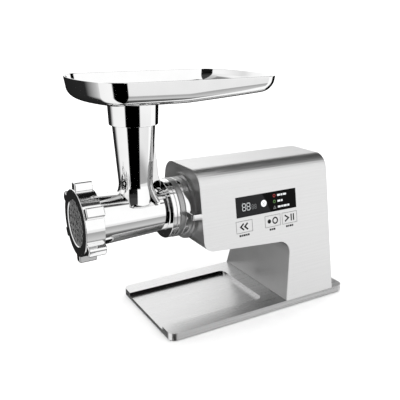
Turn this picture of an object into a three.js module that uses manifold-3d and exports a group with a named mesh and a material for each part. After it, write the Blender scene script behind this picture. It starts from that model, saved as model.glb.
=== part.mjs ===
// Electric meat grinder with a stainless head, a feed tray and a drip recess in its base.
// Millimetres. X runs along the auger from the front of the machine to its rear, Y goes across
// and Z goes up from the table. Parts are drawn from the front edge of the base (x = 0), and the
// whole group is shifted at the end so that its origin is under the middle of the machine.
import * as THREE from 'three';
import { mergeVertices } from 'three/addons/utils/BufferGeometryUtils.js';
import Module from 'manifold-3d';

const wasm = await Module();
wasm.setup();

// ---- Driving dimensions ------------------------------------------------------------------------
const GAP = 0.3; // between pieces that touch
const COARSE = 28; // sides of a large round piece
const SMALL = 16; // sides of a small one
const ORIGIN_X = 114.75; // middle of the machine, from the front edge of the base
const AXIS_Z = 172.4; // height of the auger's axis
const THROAT_X = -8; // axis of the feed throat

const BASE = { length: 330, width: 178, bottom: 2, top: 13, corner: 11, ceiling: 5, wall: 3 };
const RECESS = { length: 180.4, width: 122, floor: 7.5, corner: 9 };
const FOOT = { radius: 9, inset: 26, stemRadius: 3.5, stemTop: 4.6 };

const HOUSING = {
  front: 66.2, rear: 303.8, bottom: 13.3, top: 235.3, halfBottom: 89.6, halfTop: 52.2,
  shoulder: 27, wall: 1.6, cover: 3, overhangFront: 119.5, overhangRear: 109, overhangCorner: 15,
  legTop: 222.2, legBottom: 207.6, legCorner: 19,
};
const PANEL = { reference: 165, glass: [124.5, 237.3, 160, 190.2], buttonWidth: 28, buttonHeight: 16.4 };
const BUTTONS = [['button_reverse', 137], ['button_power', 190], ['button_start', 223]];
const BUTTON_Z = 145.6;

const BARREL = { front: -97.5, mouth: 39.2, mouthRear: -75, frontRadius: 37, rearRadius: 32.2,
  seatRadius: 35.4, seatRear: -86.9, bore: 29.5, boreRear: 24, wallRear: 30 };
const FLANGE = { front: 30, groove: 35.6, rear: 41.3, radius: 44.4, grooveRadius: 43.2 };
const SHANK = { rear: 62, radius: 34, bore: 30 };
const NECK = { top: 338, topRadius: 30.8, waist: 303, waistRadius: 30.2, lowRadius: 23.5, low: 207.5,
  flareTop: 224, flare: 11, boreTop: 27.8, boreLow: 19 };
const RING = { front: -100.5, rear: -73.5, radius: 47.9, thread: 39.6, lip: 33, edge: 1.2, lugs: 6,
  lugRadius: 58.6, lugWidth: 14, lugFront: -99.5 };
const PLATE = { front: -98.2, rear: -92.2, radius: 34.9, holeRadius: 2.6, pinHole: 4.4 };
const AUGER = { front: -86.6, rear: 20, radius: 28.8, core: 9, turns: 2.3, journal: 8, pin: 4,
  stud: 9.5, tangFlats: 13, tangRear: 60 };
const SOCKET = { front: 41.6, collarRear: 49.6, collarRadius: 45, bore: 34.4, tube: 39.4,
  rear: 75.2, flange: 46 };
const LOCK = { front: 50, rear: 62, bore: 39.8, radius: 45, gripRear: 65.6, gripStart: 52,
  leverFront: 65, leverRear: 66.5, leverHeight: 173, leverThickness: 8.8 };
const BOSS = { front: 62.6, bore: 40, radius: 51, capRear: 84 }; // raised ring on the front cap

const TRAY = { rim: 367.8, floor: 338.3, wall: 1.5, centre: 47.55, halfLength: 122.55,
  halfWidth: 94.9, corner: 22, endBow: 17.3, sideBow: 5.5, edge: 14, slopeStart: 30, slope: 0.0605,
  draft: 0.00116 };
const COLLAR = { bottom: 303, bore: 31.4, bottomRadius: 34.2, topRadius: 35.6, hole: 28 };

const VENTS = { count: 6, halfWidth: 32, lowest: 146, pitch: 9, height: 4 };
const GLAND = { inner: 3.6, outer: 6.4, flange: 10, height: 36 };
const SCREWS = [[-72, 28], [72, 28], [44, 218], [-44, 218]]; // y and z
const BOARD = { display: [128, 234, 138, 188], thickness: 1.6 };

const GEARS = { pinion: 10, wheel: 40, slow: 1.5, fast: 1.1, angle: -35 }; // teeth and modules
const PRESSURE = THREE.MathUtils.degToRad(25);
const BACKLASH = 0.12; // taken off each flank
const LINE = THREE.MathUtils.degToRad(GEARS.angle);
const SLOW_CENTRES = GEARS.slow * (GEARS.pinion + GEARS.wheel) / 2;
const FAST_CENTRES = GEARS.fast * (GEARS.pinion + GEARS.wheel) / 2;
const alongLine = (d) => [d * Math.cos(LINE), AXIS_Z + d * Math.sin(LINE)];
const LAYSHAFT = alongLine(SLOW_CENTRES); // y and z of the layshaft
const MOTOR = alongLine(SLOW_CENTRES - FAST_CENTRES); // y and z of the motor shaft
const OUTPUT = [0, AXIS_Z];

// Ends of each piece of the drive along X, and radii.
const SHAFT = { output: 8, lay: 4, motor: 4 };
const DRIVE = {
  coupling: [44, 73], couplingRadius: 14, tangRoom: 62.5, outputShaft: [63, 103.6],
  outputGear: [94, 103], layshaftPinion: [93.5, 103.5], layshaftGear: [105, 113],
  motorPinion: [104.4, 113.6], layshaft: [76.5, 118.8], bearings: [[76.5, 83.5], [84.5, 91.5]],
  bearingRadius: 16,
};
const GEARBOX = {
  outline: [[-35, 124.2, 8], [58, 124.2, 8], [58, 178, 8], [40, 208, 8], [-35, 208, 8]],
  front: 76, inside: 79, rear: 116, coverRear: 119, wall: 2.5, hub: [77, 92], hubRadius: 20,
};
const FIELD = { stator: [158, 212], inner: 34, outer: 42, poleHalf: 11, poleReach: 36, bore: 25,
  coil: [152, 218], coilHalf: 15.2, coilLow: 26.3, coilHigh: 29.5 };
const ROTOR = { shaftRear: 274, core: [160, 210], coreRadius: 24, slots: 8, slotFloor: 17,
  winding: [150, 220], windingRadius: 17.5, commutator: [224, 242], commutatorRadius: 12 };
const FAN = { disc: [259, 262], radius: 35, hubRadius: 12, hubRear: 272, blades: [261, 271], reach: 33 };
const BRACKET = { front: 121, rear: 254, bearing: 11, hub: 14, depth: 8, web: 3 };
const BRUSH = { holder: [226, 240], from: 15, to: 30, half: 6, carbonFrom: 12.4, carbonTo: 27 };

// ---- Materials ---------------------------------------------------------------------------------
const material = (color, roughness, metalness) =>
  new THREE.MeshStandardMaterial({ color, roughness, metalness });
const POLISHED = material(0xd8d8da, 0.08, 1);
const BRUSHED = material(0xb9babb, 0.35, 1);
const SATIN = material(0x6c6c6d, 0.45, 0.6);
const STEEL = material(0x8d9094, 0.35, 1);
const BLACK_GLASS = material(0x0b0c0e, 0.05, 0);
const BLACK = material(0x1b1b1c, 0.6, 0);
const RUBBER = material(0x141414, 0.9, 0);
const NYLON = material(0xe6e2d6, 0.5, 0);
const COPPER = material(0xb4693a, 0.4, 1);
const GREEN = material(0x1f5a35, 0.5, 0);
const BRONZE = material(0xa9793f, 0.4, 1);

// ---- Solids ------------------------------------------------------------------------------------
function toSolid(geometry) {
  const plain = geometry.clone();
  plain.deleteAttribute('normal');
  plain.deleteAttribute('uv');
  const merged = mergeVertices(plain, 1e-4);
  const triangles = [];
  const index = merged.index.array;
  for (let i = 0; i < index.length; i += 3) {
    const [a, b, c] = [index[i], index[i + 1], index[i + 2]];
    if (a !== b && b !== c && c !== a) triangles.push(a, b, c);
  }
  const points = merged.attributes.position.array;
  if (signedVolume(points, triangles) < 0) triangles.reverse();
  const mesh = new wasm.Mesh({
    numProp: 3, vertProperties: new Float32Array(points), triVerts: new Uint32Array(triangles),
  });
  return new wasm.Manifold(mesh);
}

function signedVolume(points, triangles) {
  const corner = (i) => new THREE.Vector3().fromArray(points, 3 * triangles[i]);
  let volume = 0;
  for (let i = 0; i < triangles.length; i += 3) {
    volume += corner(i).dot(corner(i + 1).cross(corner(i + 2)));
  }
  return volume;
}

function toMesh(name, solid, look) {
  const result = solid.getMesh();
  const geometry = new THREE.BufferGeometry();
  geometry.setAttribute('position', new THREE.BufferAttribute(result.vertProperties, 3));
  geometry.setIndex(new THREE.BufferAttribute(result.triVerts, 1));
  geometry.computeVertexNormals();
  const mesh = new THREE.Mesh(geometry, look);
  mesh.name = name;
  return mesh;
}

const join = (solids) => solids.reduce((all, one) => all.add(one));
const vector = (x, y, z) => new THREE.Vector3(x, y, z);

// Lays a geometry drawn along +Z so that its x, y and z run along the three given directions.
function lay(geometry, xDirection, yDirection, zDirection, origin = vector(0, 0, 0)) {
  const matrix = new THREE.Matrix4().makeBasis(xDirection, yDirection, zDirection);
  matrix.setPosition(origin);
  return geometry.applyMatrix4(matrix);
}

function box(x0, x1, y0, y1, z0, z1) {
  const geometry = new THREE.BoxGeometry(x1 - x0, y1 - y0, z1 - z0);
  return toSolid(geometry.translate((x0 + x1) / 2, (y0 + y1) / 2, (z0 + z1) / 2));
}

function extrude(shape, depth, segments, bevel = 0) {
  return new THREE.ExtrudeGeometry(shape, {
    depth, curveSegments: segments, steps: 1, bevelEnabled: bevel > 0, bevelThickness: bevel,
    bevelSize: bevel, bevelOffset: -bevel, bevelSegments: 3,
  });
}

// A (y, z) outline pulled along X.
function alongX(shape, x0, x1, segments = 5) {
  return toSolid(lay(extrude(shape, x1 - x0, segments), vector(0, 1, 0), vector(0, 0, 1),
    vector(1, 0, 0), vector(x0, 0, 0)));
}

// An (x, z) outline pulled along Y.
function alongY(shape, y0, y1, segments = 5) {
  return toSolid(lay(extrude(shape, y1 - y0, segments), vector(1, 0, 0), vector(0, 0, 1),
    vector(0, -1, 0), vector(0, y1, 0)));
}

// An (x, y) outline pulled up Z.
function alongZ(shape, z0, z1, segments = 4) {
  return toSolid(extrude(shape, z1 - z0, segments).translate(0, 0, z0));
}

// A closed (position, radius) profile turned about an axis parallel to X.
function turnedX(profile, [y, z] = OUTPUT, segments = COARSE) {
  const lathe = new THREE.LatheGeometry(profile.map(([x, r]) => new THREE.Vector2(r, x)), segments);
  return toSolid(lay(lathe, vector(0, 0, 1), vector(1, 0, 0), vector(0, 1, 0), vector(0, y, z)));
}

// A closed (height, radius) profile turned about an upright axis.
function turnedZ(profile, x, y, segments = COARSE) {
  const lathe = new THREE.LatheGeometry(profile.map(([h, r]) => new THREE.Vector2(r, h)), segments);
  return toSolid(lay(lathe, vector(0, 1, 0), vector(0, 0, 1), vector(1, 0, 0), vector(x, y, 0)));
}

const tubeProfile = (a, b, inner, outer) => [[a, inner], [b, inner], [b, outer], [a, outer], [a, inner]];
const rodProfile = (a, b, radius) => [[a, 0], [a, radius], [b, radius], [b, 0]];
const rodX = (x0, x1, radius, at = OUTPUT, segments = SMALL) =>
  turnedX(rodProfile(x0, x1, radius), at, segments);
const tubeX = (x0, x1, inner, outer, at = OUTPUT, segments = SMALL) =>
  turnedX(tubeProfile(x0, x1, inner, outer), at, segments);

// ---- Outlines ----------------------------------------------------------------------------------
// A closed outline through [x, y, radius] corners, each rounded with a true arc.
function rounded(corners) {
  const shape = new THREE.Shape();
  corners.forEach(([x, y, radius = 0], i) => {
    const here = new THREE.Vector2(x, y);
    const [px, py] = corners.at(i - 1);
    const [nx, ny] = corners[(i + 1) % corners.length];
    const back = new THREE.Vector2(px - x, py - y).normalize();
    const ahead = new THREE.Vector2(nx - x, ny - y).normalize();
    const half = Math.acos(THREE.MathUtils.clamp(back.dot(ahead), -1, 1)) / 2;
    const start = here.clone().addScaledVector(back, radius / Math.tan(half));
    if (i === 0) shape.moveTo(start.x, start.y);
    else shape.lineTo(start.x, start.y);
    if (radius === 0) return;
    const inward = back.clone().add(ahead).normalize();
    const centre = here.clone().addScaledVector(inward, radius / Math.sin(half));
    const end = here.clone().addScaledVector(ahead, radius / Math.tan(half));
    shape.absarc(centre.x, centre.y, radius, start.clone().sub(centre).angle(),
      end.clone().sub(centre).angle(), back.cross(ahead) > 0);
  });
  shape.closePath();
  return shape;
}

// The same corners moved inward by a distance; outer corners tighten and inner corners widen.
function inset(corners, distance) {
  const count = corners.length;
  const edges = corners.map(([x, y], i) => {
    const [nx, ny] = corners[(i + 1) % count];
    const direction = new THREE.Vector2(nx - x, ny - y).normalize();
    return { direction, point: vector(x - direction.y * distance, y + direction.x * distance, 0) };
  });
  return corners.map(([, , radius = 0], i) => {
    const a = edges.at(i - 1);
    const b = edges[i];
    const turn = a.direction.cross(b.direction);
    const apart = new THREE.Vector2(b.point.x - a.point.x, b.point.y - a.point.y);
    const t = apart.cross(b.direction) / turn;
    const newRadius = radius === 0 ? 0 : Math.max(radius - Math.sign(turn) * distance, 0.5);
    return [a.point.x + a.direction.x * t, a.point.y + a.direction.y * t, newRadius];
  });
}

const rectangle = (x0, x1, y0, y1, radius) =>
  rounded([[x0, y0, radius], [x1, y0, radius], [x1, y1, radius], [x0, y1, radius]]);

// ---- Base --------------------------------------------------------------------------------------
function basePlate() {
  const half = BASE.width / 2;
  const plate = alongZ(rectangle(0, BASE.length, -half, half, BASE.corner), BASE.bottom, BASE.top);
  const reach = RECESS.width / 2;
  const recess = alongZ(rounded([[-10, -reach], [RECESS.length, -reach, RECESS.corner],
    [RECESS.length, reach, RECESS.corner], [-10, reach]]), RECESS.floor, BASE.top + 5);
  return plate.subtract(recess).subtract(baseInside(BASE.wall, BASE.bottom - 1, BASE.ceiling));
}

function baseInside(wall, z0, z1) {
  const half = BASE.width / 2 - wall;
  return alongZ(rectangle(wall, BASE.length - wall, -half, half, BASE.corner - wall), z0, z1);
}

const footPlaces = () => {
  const y = BASE.width / 2 - FOOT.inset;
  return [[FOOT.inset, -y], [FOOT.inset, y], [BASE.length - FOOT.inset, y],
    [BASE.length - FOOT.inset, -y]];
};

function bottomCover() {
  const cover = baseInside(BASE.wall + GAP, BASE.bottom, BASE.bottom + 2);
  const hole = (x, y) => turnedZ(rodProfile(0, 9, FOOT.stemRadius + GAP), x, y, 10);
  return footPlaces().reduce((plate, [x, y]) => plate.subtract(hole(x, y)), cover);
}

function rubberFoot([x, y]) {
  const top = BASE.bottom - GAP;
  return turnedZ([[0, 0], [0, FOOT.radius], [top, FOOT.radius], [top, FOOT.stemRadius],
    [FOOT.stemTop, FOOT.stemRadius], [FOOT.stemTop, 0]], x, y, SMALL);
}

// ---- Housing -----------------------------------------------------------------------------------
const sideSlope = (HOUSING.halfBottom - HOUSING.halfTop) / (HOUSING.top - HOUSING.bottom);
const halfWidthAt = (z) => HOUSING.halfBottom - (z - HOUSING.bottom) * sideSlope;

// Seen from the front: sides that lean in towards the rounded top.
function crossSection(distance, bottom = -40) {
  const low = halfWidthAt(bottom);
  const corners = [[-low, bottom], [low, bottom], [HOUSING.halfTop, HOUSING.top, HOUSING.shoulder],
    [-HOUSING.halfTop, HOUSING.top, HOUSING.shoulder]];
  return rounded(inset(corners, distance));
}

// Seen from the side: a leg at the rear and an overhang that reaches forward to the head.
function sideCorners() {
  const h = HOUSING;
  return [[h.legBottom, h.bottom], [h.rear, h.bottom], [h.rear, h.top], [h.front, h.top],
    [h.front, h.overhangFront, h.overhangCorner], [h.legTop, h.overhangRear, h.legCorner]];
}

const sideSolid = (distance) => alongY(rounded(inset(sideCorners(), distance)), -110, 110);
const sectionSolid = (distance) => alongX(crossSection(distance), 0, 400);

// Turns a shape drawn on the near side panel (x, up the slope, outward) into place.
function onPanel(geometry) {
  const tilt = Math.atan(sideSlope);
  return toSolid(lay(geometry, vector(1, 0, 0), vector(0, Math.sin(tilt), Math.cos(tilt)),
    vector(0, -Math.cos(tilt), Math.sin(tilt)),
    vector(0, -halfWidthAt(PANEL.reference), PANEL.reference)));
}

// A block on the side panel between two x values and two heights, from depth w0 to w1.
function panelBlock(x0, x1, z0, z1, w0, w1) {
  const up = (z) => (z - PANEL.reference) / Math.cos(Math.atan(sideSlope));
  const geometry = new THREE.BoxGeometry(x1 - x0, up(z1) - up(z0), w1 - w0);
  return onPanel(geometry.translate((x0 + x1) / 2, (up(z0) + up(z1)) / 2, (w0 + w1) / 2));
}

function grownBlock([x0, x1, z0, z1], grow, w0, w1) {
  return panelBlock(x0 - grow, x1 + grow, z0 - grow, z1 + grow, w0, w1);
}

const buttonFace = (x) => [x - PANEL.buttonWidth / 2, x + PANEL.buttonWidth / 2,
  BUTTON_Z - PANEL.buttonHeight / 2, BUTTON_Z + PANEL.buttonHeight / 2];

function bodyShell() {
  const wrap = sectionSolid(0).subtract(sectionSolid(HOUSING.wall)).intersect(sideSolid(0));
  const windows = [PANEL.glass, ...BUTTONS.map(([, x]) => buttonFace(x))];
  return windows.reduce((shell, face) => shell.subtract(grownBlock(face, GAP, -5, 5)), wrap);
}

// The band of sheet that closes the housing all the way round, inside the wrapped sides.
function closingBand() {
  return sideSolid(0).subtract(sideSolid(HOUSING.cover))
    .intersect(sectionSolid(HOUSING.wall + GAP));
}

function frontCap() {
  const inner = HOUSING.front + HOUSING.cover;
  const cap = closingBand().intersect(box(60, BOSS.capRear, -100, 100, 90, 240));
  const top = box(inner, BOSS.capRear + 1, -100, 100, 140, 240);
  const room = rodX(inner, BOSS.capRear + 1, SOCKET.flange + 2 * GAP, OUTPUT, COARSE);
  const boss = tubeX(BOSS.front, HOUSING.front + 1, BOSS.bore, BOSS.radius, OUTPUT, COARSE);
  return cap.subtract(top).subtract(room).subtract(rodX(60, 80, BOSS.bore, OUTPUT, COARSE)).add(boss);
}

function legCover() {
  const place = box(BOSS.capRear + GAP, 240, -100, 100, 13, 125);
  return closingBand().intersect(place).subtract(box(225, 240, -100, 100, 0, 30));
}

function rearCover() {
  const inner = HOUSING.rear - HOUSING.cover;
  const cover = closingBand().intersect(box(inner, 310, -100, 100, 13, 240));
  const vents = Array.from({ length: VENTS.count }, (_, i) => {
    const low = VENTS.lowest + VENTS.pitch * i;
    return box(290, 310, -VENTS.halfWidth, VENTS.halfWidth, low, low + VENTS.height);
  });
  const holes = SCREWS.map((at) => rodX(290, 310, 2, at, 8));
  const inlet = rodX(290, 310, GLAND.outer + 0.4 + GAP, [0, GLAND.height], 12);
  return [...vents, ...holes, inlet].reduce((sheet, hole) => sheet.subtract(hole), cover);
}

function coverScrew(at) {
  const face = HOUSING.rear + GAP;
  return turnedX([[face - 8, 0], [face - 8, 1.6], [face, 1.6], [face, 3.4], [face + 1.4, 3],
    [face + 2, 1.8], [face + 2, 0]], at, 8);
}

// Where the mains lead would come in: a flanged nylon gland with an open bore.
function cableGland() {
  const face = HOUSING.rear + GAP;
  const g = GLAND;
  return turnedX([[face - 10, g.inner], [face - 10, g.outer], [face, g.outer], [face, g.flange],
    [face + 4, g.flange], [face + 9, g.flange - 3], [face + 9, g.inner], [face - 10, g.inner]],
    [0, g.height], 12);
}

function button(x) {
  const face = buttonFace(x);
  const cap = grownBlock(face, 0, -4, 0);
  const skirt = grownBlock(face, 1.5, -4, -HOUSING.wall - GAP);
  const stem = grownBlock([x - 2, x + 2, BUTTON_Z - 2, BUTTON_Z + 2], 0, -6, -3.5);
  return join([cap, skirt, stem]);
}

const displayBoard = () => grownBlock(BOARD.display, 0, -9, BOARD.thickness - 9);

// ---- Socket and lock ring ----------------------------------------------------------------------
function headSocket() {
  const s = SOCKET;
  const cap = HOUSING.front + HOUSING.cover + GAP;
  return turnedX([[s.front, s.bore], [s.front, s.collarRadius - 1], [s.front + 1, s.collarRadius],
    [s.collarRear, s.collarRadius], [s.collarRear, s.tube], [cap, s.tube], [cap, s.flange],
    [s.rear, s.flange], [s.rear, 16], [SHANK.rear + 0.6, 16], [SHANK.rear + 0.6, s.bore],
    [s.front, s.bore]]);
}

function lockRing() {
  const l = LOCK;
  const ring = turnedX([[l.front, l.bore], [l.front, l.radius - 0.8], [l.front + 0.8, l.radius],
    [l.rear - 0.8, l.radius], [l.rear, l.radius - 0.8], [l.rear, l.bore], [l.front, l.bore]]);
  const [low, high] = [l.leverHeight - l.leverThickness / 2, l.leverHeight + l.leverThickness / 2];
  const arm = box(l.front + 0.4, l.rear, -l.gripStart - 1, -l.radius + 2, low, high);
  const grip = alongZ(rounded([[l.front + 0.4, -l.gripStart], [l.front + 0.4, -l.leverFront, 1.5],
    [l.gripRear, -l.leverRear, 2], [l.gripRear, -l.gripStart]]), low, high, 3);
  return join([ring, arm, grip]);
}

// ---- Grinding head -----------------------------------------------------------------------------
function barrelOutside(grow = 0) {
  const b = BARREL;
  const f = FLANGE;
  return turnedX([[b.front, 0], [b.front, b.mouth + grow], [b.mouthRear - 2, b.mouth + grow],
    [b.mouthRear, b.frontRadius + grow], [f.front - grow, b.rearRadius + grow],
    [f.front - grow, f.radius - 0.8], [f.front + 0.8, f.radius], [f.groove - 0.4, f.radius],
    [f.groove, f.grooveRadius], [f.groove + 0.6, f.grooveRadius], [f.groove + 1, f.radius],
    [f.rear, f.radius], [f.rear, SHANK.radius], [SHANK.rear, SHANK.radius], [SHANK.rear, 0]]);
}

// The throat tapers down and flares again where it runs into the barrel.
function neckOutside() {
  const slope = (NECK.waistRadius - NECK.lowRadius) / (NECK.waist - NECK.low);
  const straight = (z) => NECK.lowRadius + (z - NECK.low) * slope;
  const flare = Array.from({ length: 4 }, (_, i) => {
    const t = i / 3;
    const z = THREE.MathUtils.lerp(196, NECK.flareTop, t);
    return [z, straight(z) + NECK.flare * (1 - t) ** 2.4];
  });
  return turnedZ([[AXIS_Z, 0], [AXIS_Z, flare[0][1]], ...flare, [NECK.waist, NECK.waistRadius],
    [NECK.top - 6, NECK.topRadius], [NECK.top, NECK.topRadius], [NECK.top, 0]], THROAT_X, 0);
}

// A thin gusset from the back of the throat down to the flange.
function neckRib() {
  const outline = [[8, 205], [29.9, 203], [29.9, 213], [26.6, 228], [25.8, 249], [24.8, 250.5],
    [21.4, 284], [12, 288]];
  return alongY(rounded(outline), -2.4, 2.4);
}

const throatBore = () => turnedZ([[AXIS_Z, 0], [AXIS_Z, NECK.boreLow], [NECK.low, NECK.boreLow],
  [NECK.top + 1, NECK.boreTop], [NECK.top + 1, 0]], THROAT_X, 0);

function headCasting() {
  const b = BARREL;
  const bores = turnedX([[b.front - 2, 0], [b.front - 2, b.seatRadius], [b.seatRear, b.seatRadius],
    [b.seatRear, b.bore], [b.boreRear, b.bore], [b.boreRear, 12.3], [b.wallRear, 12.3],
    [b.wallRear, SHANK.bore], [SHANK.rear + 2, SHANK.bore], [SHANK.rear + 2, 0]]);
  return barrelOutside().subtract(bores).subtract(throatBore());
}

// The throat is a piece of its own, seated on the barrel.
const headThroat = () => neckOutside().add(neckRib()).subtract(barrelOutside(GAP))
  .subtract(throatBore());

const headBush = () => turnedX([[BARREL.boreRear + 0.2, AUGER.journal + GAP], [36, AUGER.journal + GAP],
  [36, 16], [BARREL.wallRear + GAP, 16], [BARREL.wallRear + GAP, 12], [BARREL.boreRear + 0.2, 12],
  [BARREL.boreRear + 0.2, AUGER.journal + GAP]], OUTPUT, SMALL);

const thrustWasher = () => tubeX(AUGER.rear + GAP, BARREL.boreRear - GAP, AUGER.journal + GAP, 18);

// ---- Auger, knife, plate and ring nut ----------------------------------------------------------
// The flight's section is a core circle with one broad lobe; turning it along X makes the screw.
function augerFlight() {
  const shape = new THREE.Shape();
  const points = 14;
  for (let i = 0; i < points; i += 1) {
    const angle = 2 * Math.PI * i / points;
    const lobe = Math.exp(-(((angle - Math.PI) / 0.62) ** 4));
    const radius = AUGER.core + (AUGER.radius - AUGER.core) * lobe;
    const place = [-radius * Math.cos(angle), -radius * Math.sin(angle)];
    if (i === 0) shape.moveTo(...place);
    else shape.lineTo(...place);
  }
  const length = AUGER.rear - AUGER.front;
  const geometry = new THREE.ExtrudeGeometry(shape, { depth: length, steps: 28, bevelEnabled: false });
  const position = geometry.attributes.position;
  const point = vector(0, 0, 0);
  for (let i = 0; i < position.count; i += 1) {
    point.fromBufferAttribute(position, i);
    point.applyAxisAngle(vector(0, 0, 1), 2 * Math.PI * AUGER.turns * point.z / length);
    position.setXYZ(i, point.x, point.y, point.z);
  }
  return toSolid(lay(geometry, vector(0, 1, 0), vector(0, 0, 1), vector(1, 0, 0),
    vector(AUGER.front, 0, AXIS_Z)));
}

// A regular prism along X with the given distance across its flats.
function prismX(x0, x1, sides, flats) {
  const radius = flats / 2 / Math.cos(Math.PI / sides);
  const corners = Array.from({ length: sides }, (_, i) => {
    const angle = 2 * Math.PI * (i + 0.5) / sides;
    return [radius * Math.cos(angle), AXIS_Z + radius * Math.sin(angle)];
  });
  return alongX(rounded(corners), x0, x1);
}

function auger() {
  const a = AUGER;
  const plateFront = PLATE.front + 1;
  return join([augerFlight(), rodX(a.front, a.front + 3, a.core + 3), rodX(a.rear - 4, a.rear, 18),
    rodX(a.rear - 1, 38, a.journal), prismX(37, a.tangRear, 6, a.tangFlats),
    prismX(PLATE.rear + GAP, a.front + 1, 4, a.stud), rodX(plateFront, a.front, a.pin, OUTPUT, 10)]);
}

function cuttingKnife() {
  const front = PLATE.rear + GAP;
  const rear = AUGER.front - GAP;
  const arm = rounded([[-3, AXIS_Z - 6.5], [32, AXIS_Z - 4.5, 2], [32, AXIS_Z + 3, 2],
    [-3, AXIS_Z + 6.5]]);
  const blade = alongX(arm, front, rear - 1, 3);
  const centre = [0, 0, -AXIS_Z];
  const turned = (quarter) => blade.translate(centre).rotate([90 * quarter, 0, 0])
    .translate([0, 0, AXIS_Z]);
  const hub = rodX(front, rear, 12);
  return join([hub, ...[0, 1, 2, 3].map(turned)]).subtract(prismX(front - 1, rear + 1, 4, 10.1));
}

function cuttingPlate() {
  const p = PLATE;
  const disc = tubeX(p.front, p.rear, p.pinHole, p.radius, OUTPUT, COARSE);
  const rings = [[10.4, 6], [18.4, 11], [26.6, 16]];
  const holes = rings.flatMap(([radius, count]) => Array.from({ length: count }, (_, i) => {
    const angle = 2 * Math.PI * (i + 0.25) / count;
    return rodX(p.front - 1, p.rear + 1, p.holeRadius,
      [radius * Math.cos(angle), AXIS_Z + radius * Math.sin(angle)], 6);
  }));
  return holes.reduce((plate, hole) => plate.subtract(hole), disc);
}

function ringNut() {
  const r = RING;
  const lipRear = PLATE.front - 0.4;
  const body = turnedX([[r.front, r.lip + 1], [r.front, r.radius - r.edge], [r.front + r.edge, r.radius],
    [r.rear - 1, r.radius], [r.rear, r.radius - 1], [r.rear, r.thread], [lipRear, r.thread],
    [lipRear, r.lip], [r.front + 1, r.lip], [r.front, r.lip + 1]], OUTPUT, 36);
  const half = r.lugWidth / 2;
  const lug = alongX(rounded([[-half - 2, r.radius - 5], [half + 2, r.radius - 5],
    [half, r.lugRadius, 4.5], [-half, r.lugRadius, 4.5]]), r.lugFront, r.rear - 0.6, 2);
  const placed = Array.from({ length: r.lugs }, (_, i) =>
    lug.rotate([360 * i / r.lugs, 0, 0]).translate([0, 0, AXIS_Z]));
  return join([body, ...placed]);
}

// ---- Feed tray ---------------------------------------------------------------------------------
// A rounded rectangle whose ends and sides bow outward.
function trayOutline(distance) {
  const t = TRAY;
  const [hx, hy, r] = [t.halfLength - distance, t.halfWidth - distance, t.corner - distance];
  const corners = [[hx, hy], [-hx, hy], [-hx, -hy], [hx, -hy]];
  const points = corners.flatMap(([x, y], quarter) => {
    const centre = new THREE.Vector2(x - Math.sign(x) * r, y - Math.sign(y) * r);
    const arc = [0, 1, 2, 3].map((k) => {
      const angle = Math.PI / 2 * (quarter + k / 3);
      return new THREE.Vector2(centre.x + r * Math.cos(angle), centre.y + r * Math.sin(angle));
    });
    const [nx, ny] = corners[(quarter + 1) % 4];
    const next = new THREE.Vector2(
      quarter % 2 === 0 ? nx - Math.sign(nx) * r : nx, quarter % 2 === 0 ? ny : ny - Math.sign(ny) * r);
    const side = [1, 2, 3].map((k) => arc.at(-1).clone().lerp(next, k / 4));
    return [...arc, ...side];
  });
  return new THREE.Shape(points.map(({ x, y }) => {
    const [u, v] = [x / hx, y / hy];
    return new THREE.Vector2(t.centre + x + Math.sign(x) * t.endBow * (1 - v * v) * Math.abs(u) ** 4,
      y + Math.sign(y) * t.sideBow * (1 - u * u) * Math.abs(v) ** 4);
  }));
}

// The tray's volume down to a floor that is level round the throat and then climbs to the rear.
function trayVolume(distance) {
  const t = TRAY;
  const edge = t.edge - distance;
  const bottom = t.floor + distance;
  const pan = () => extrude(trayOutline(distance), 60, 1, edge).translate(0, 0, bottom + edge);
  const climb = new THREE.Matrix4().set(1, 0, 0, 0, 0, 1, 0, 0,
    t.slope, 0, 1, -t.slope * t.slopeStart, 0, 0, 0, 1);
  const level = toSolid(pan());
  return level.intersect(toSolid(pan().applyMatrix4(climb)));
}

// Leans the walls out towards the rim: whatever is below it moves in towards the tray's middle.
function drafted(solid) {
  return solid.warp((point) => {
    const drop = TRAY.rim - Math.max(point[2], TRAY.floor + TRAY.edge);
    const scale = 1 - TRAY.draft * drop;
    point[0] = TRAY.centre + (point[0] - TRAY.centre) * scale;
    point[1] *= scale;
  });
}

function hopperTray() {
  const outside = trayVolume(0).intersect(box(-200, 300, -200, 200, 200, TRAY.rim));
  const hole = turnedZ(rodProfile(TRAY.floor - 1, TRAY.floor + 9, COLLAR.hole), THROAT_X, 0);
  return drafted(outside.subtract(trayVolume(TRAY.wall))).subtract(hole);
}

// The collar under the tray that slides over the throat.
const trayCollar = () => turnedZ([[COLLAR.bottom, COLLAR.bore], [COLLAR.bottom, COLLAR.bottomRadius],
  [TRAY.floor - GAP, COLLAR.topRadius], [TRAY.floor - GAP, COLLAR.bore],
  [COLLAR.bottom, COLLAR.bore]], THROAT_X, 0);

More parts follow.
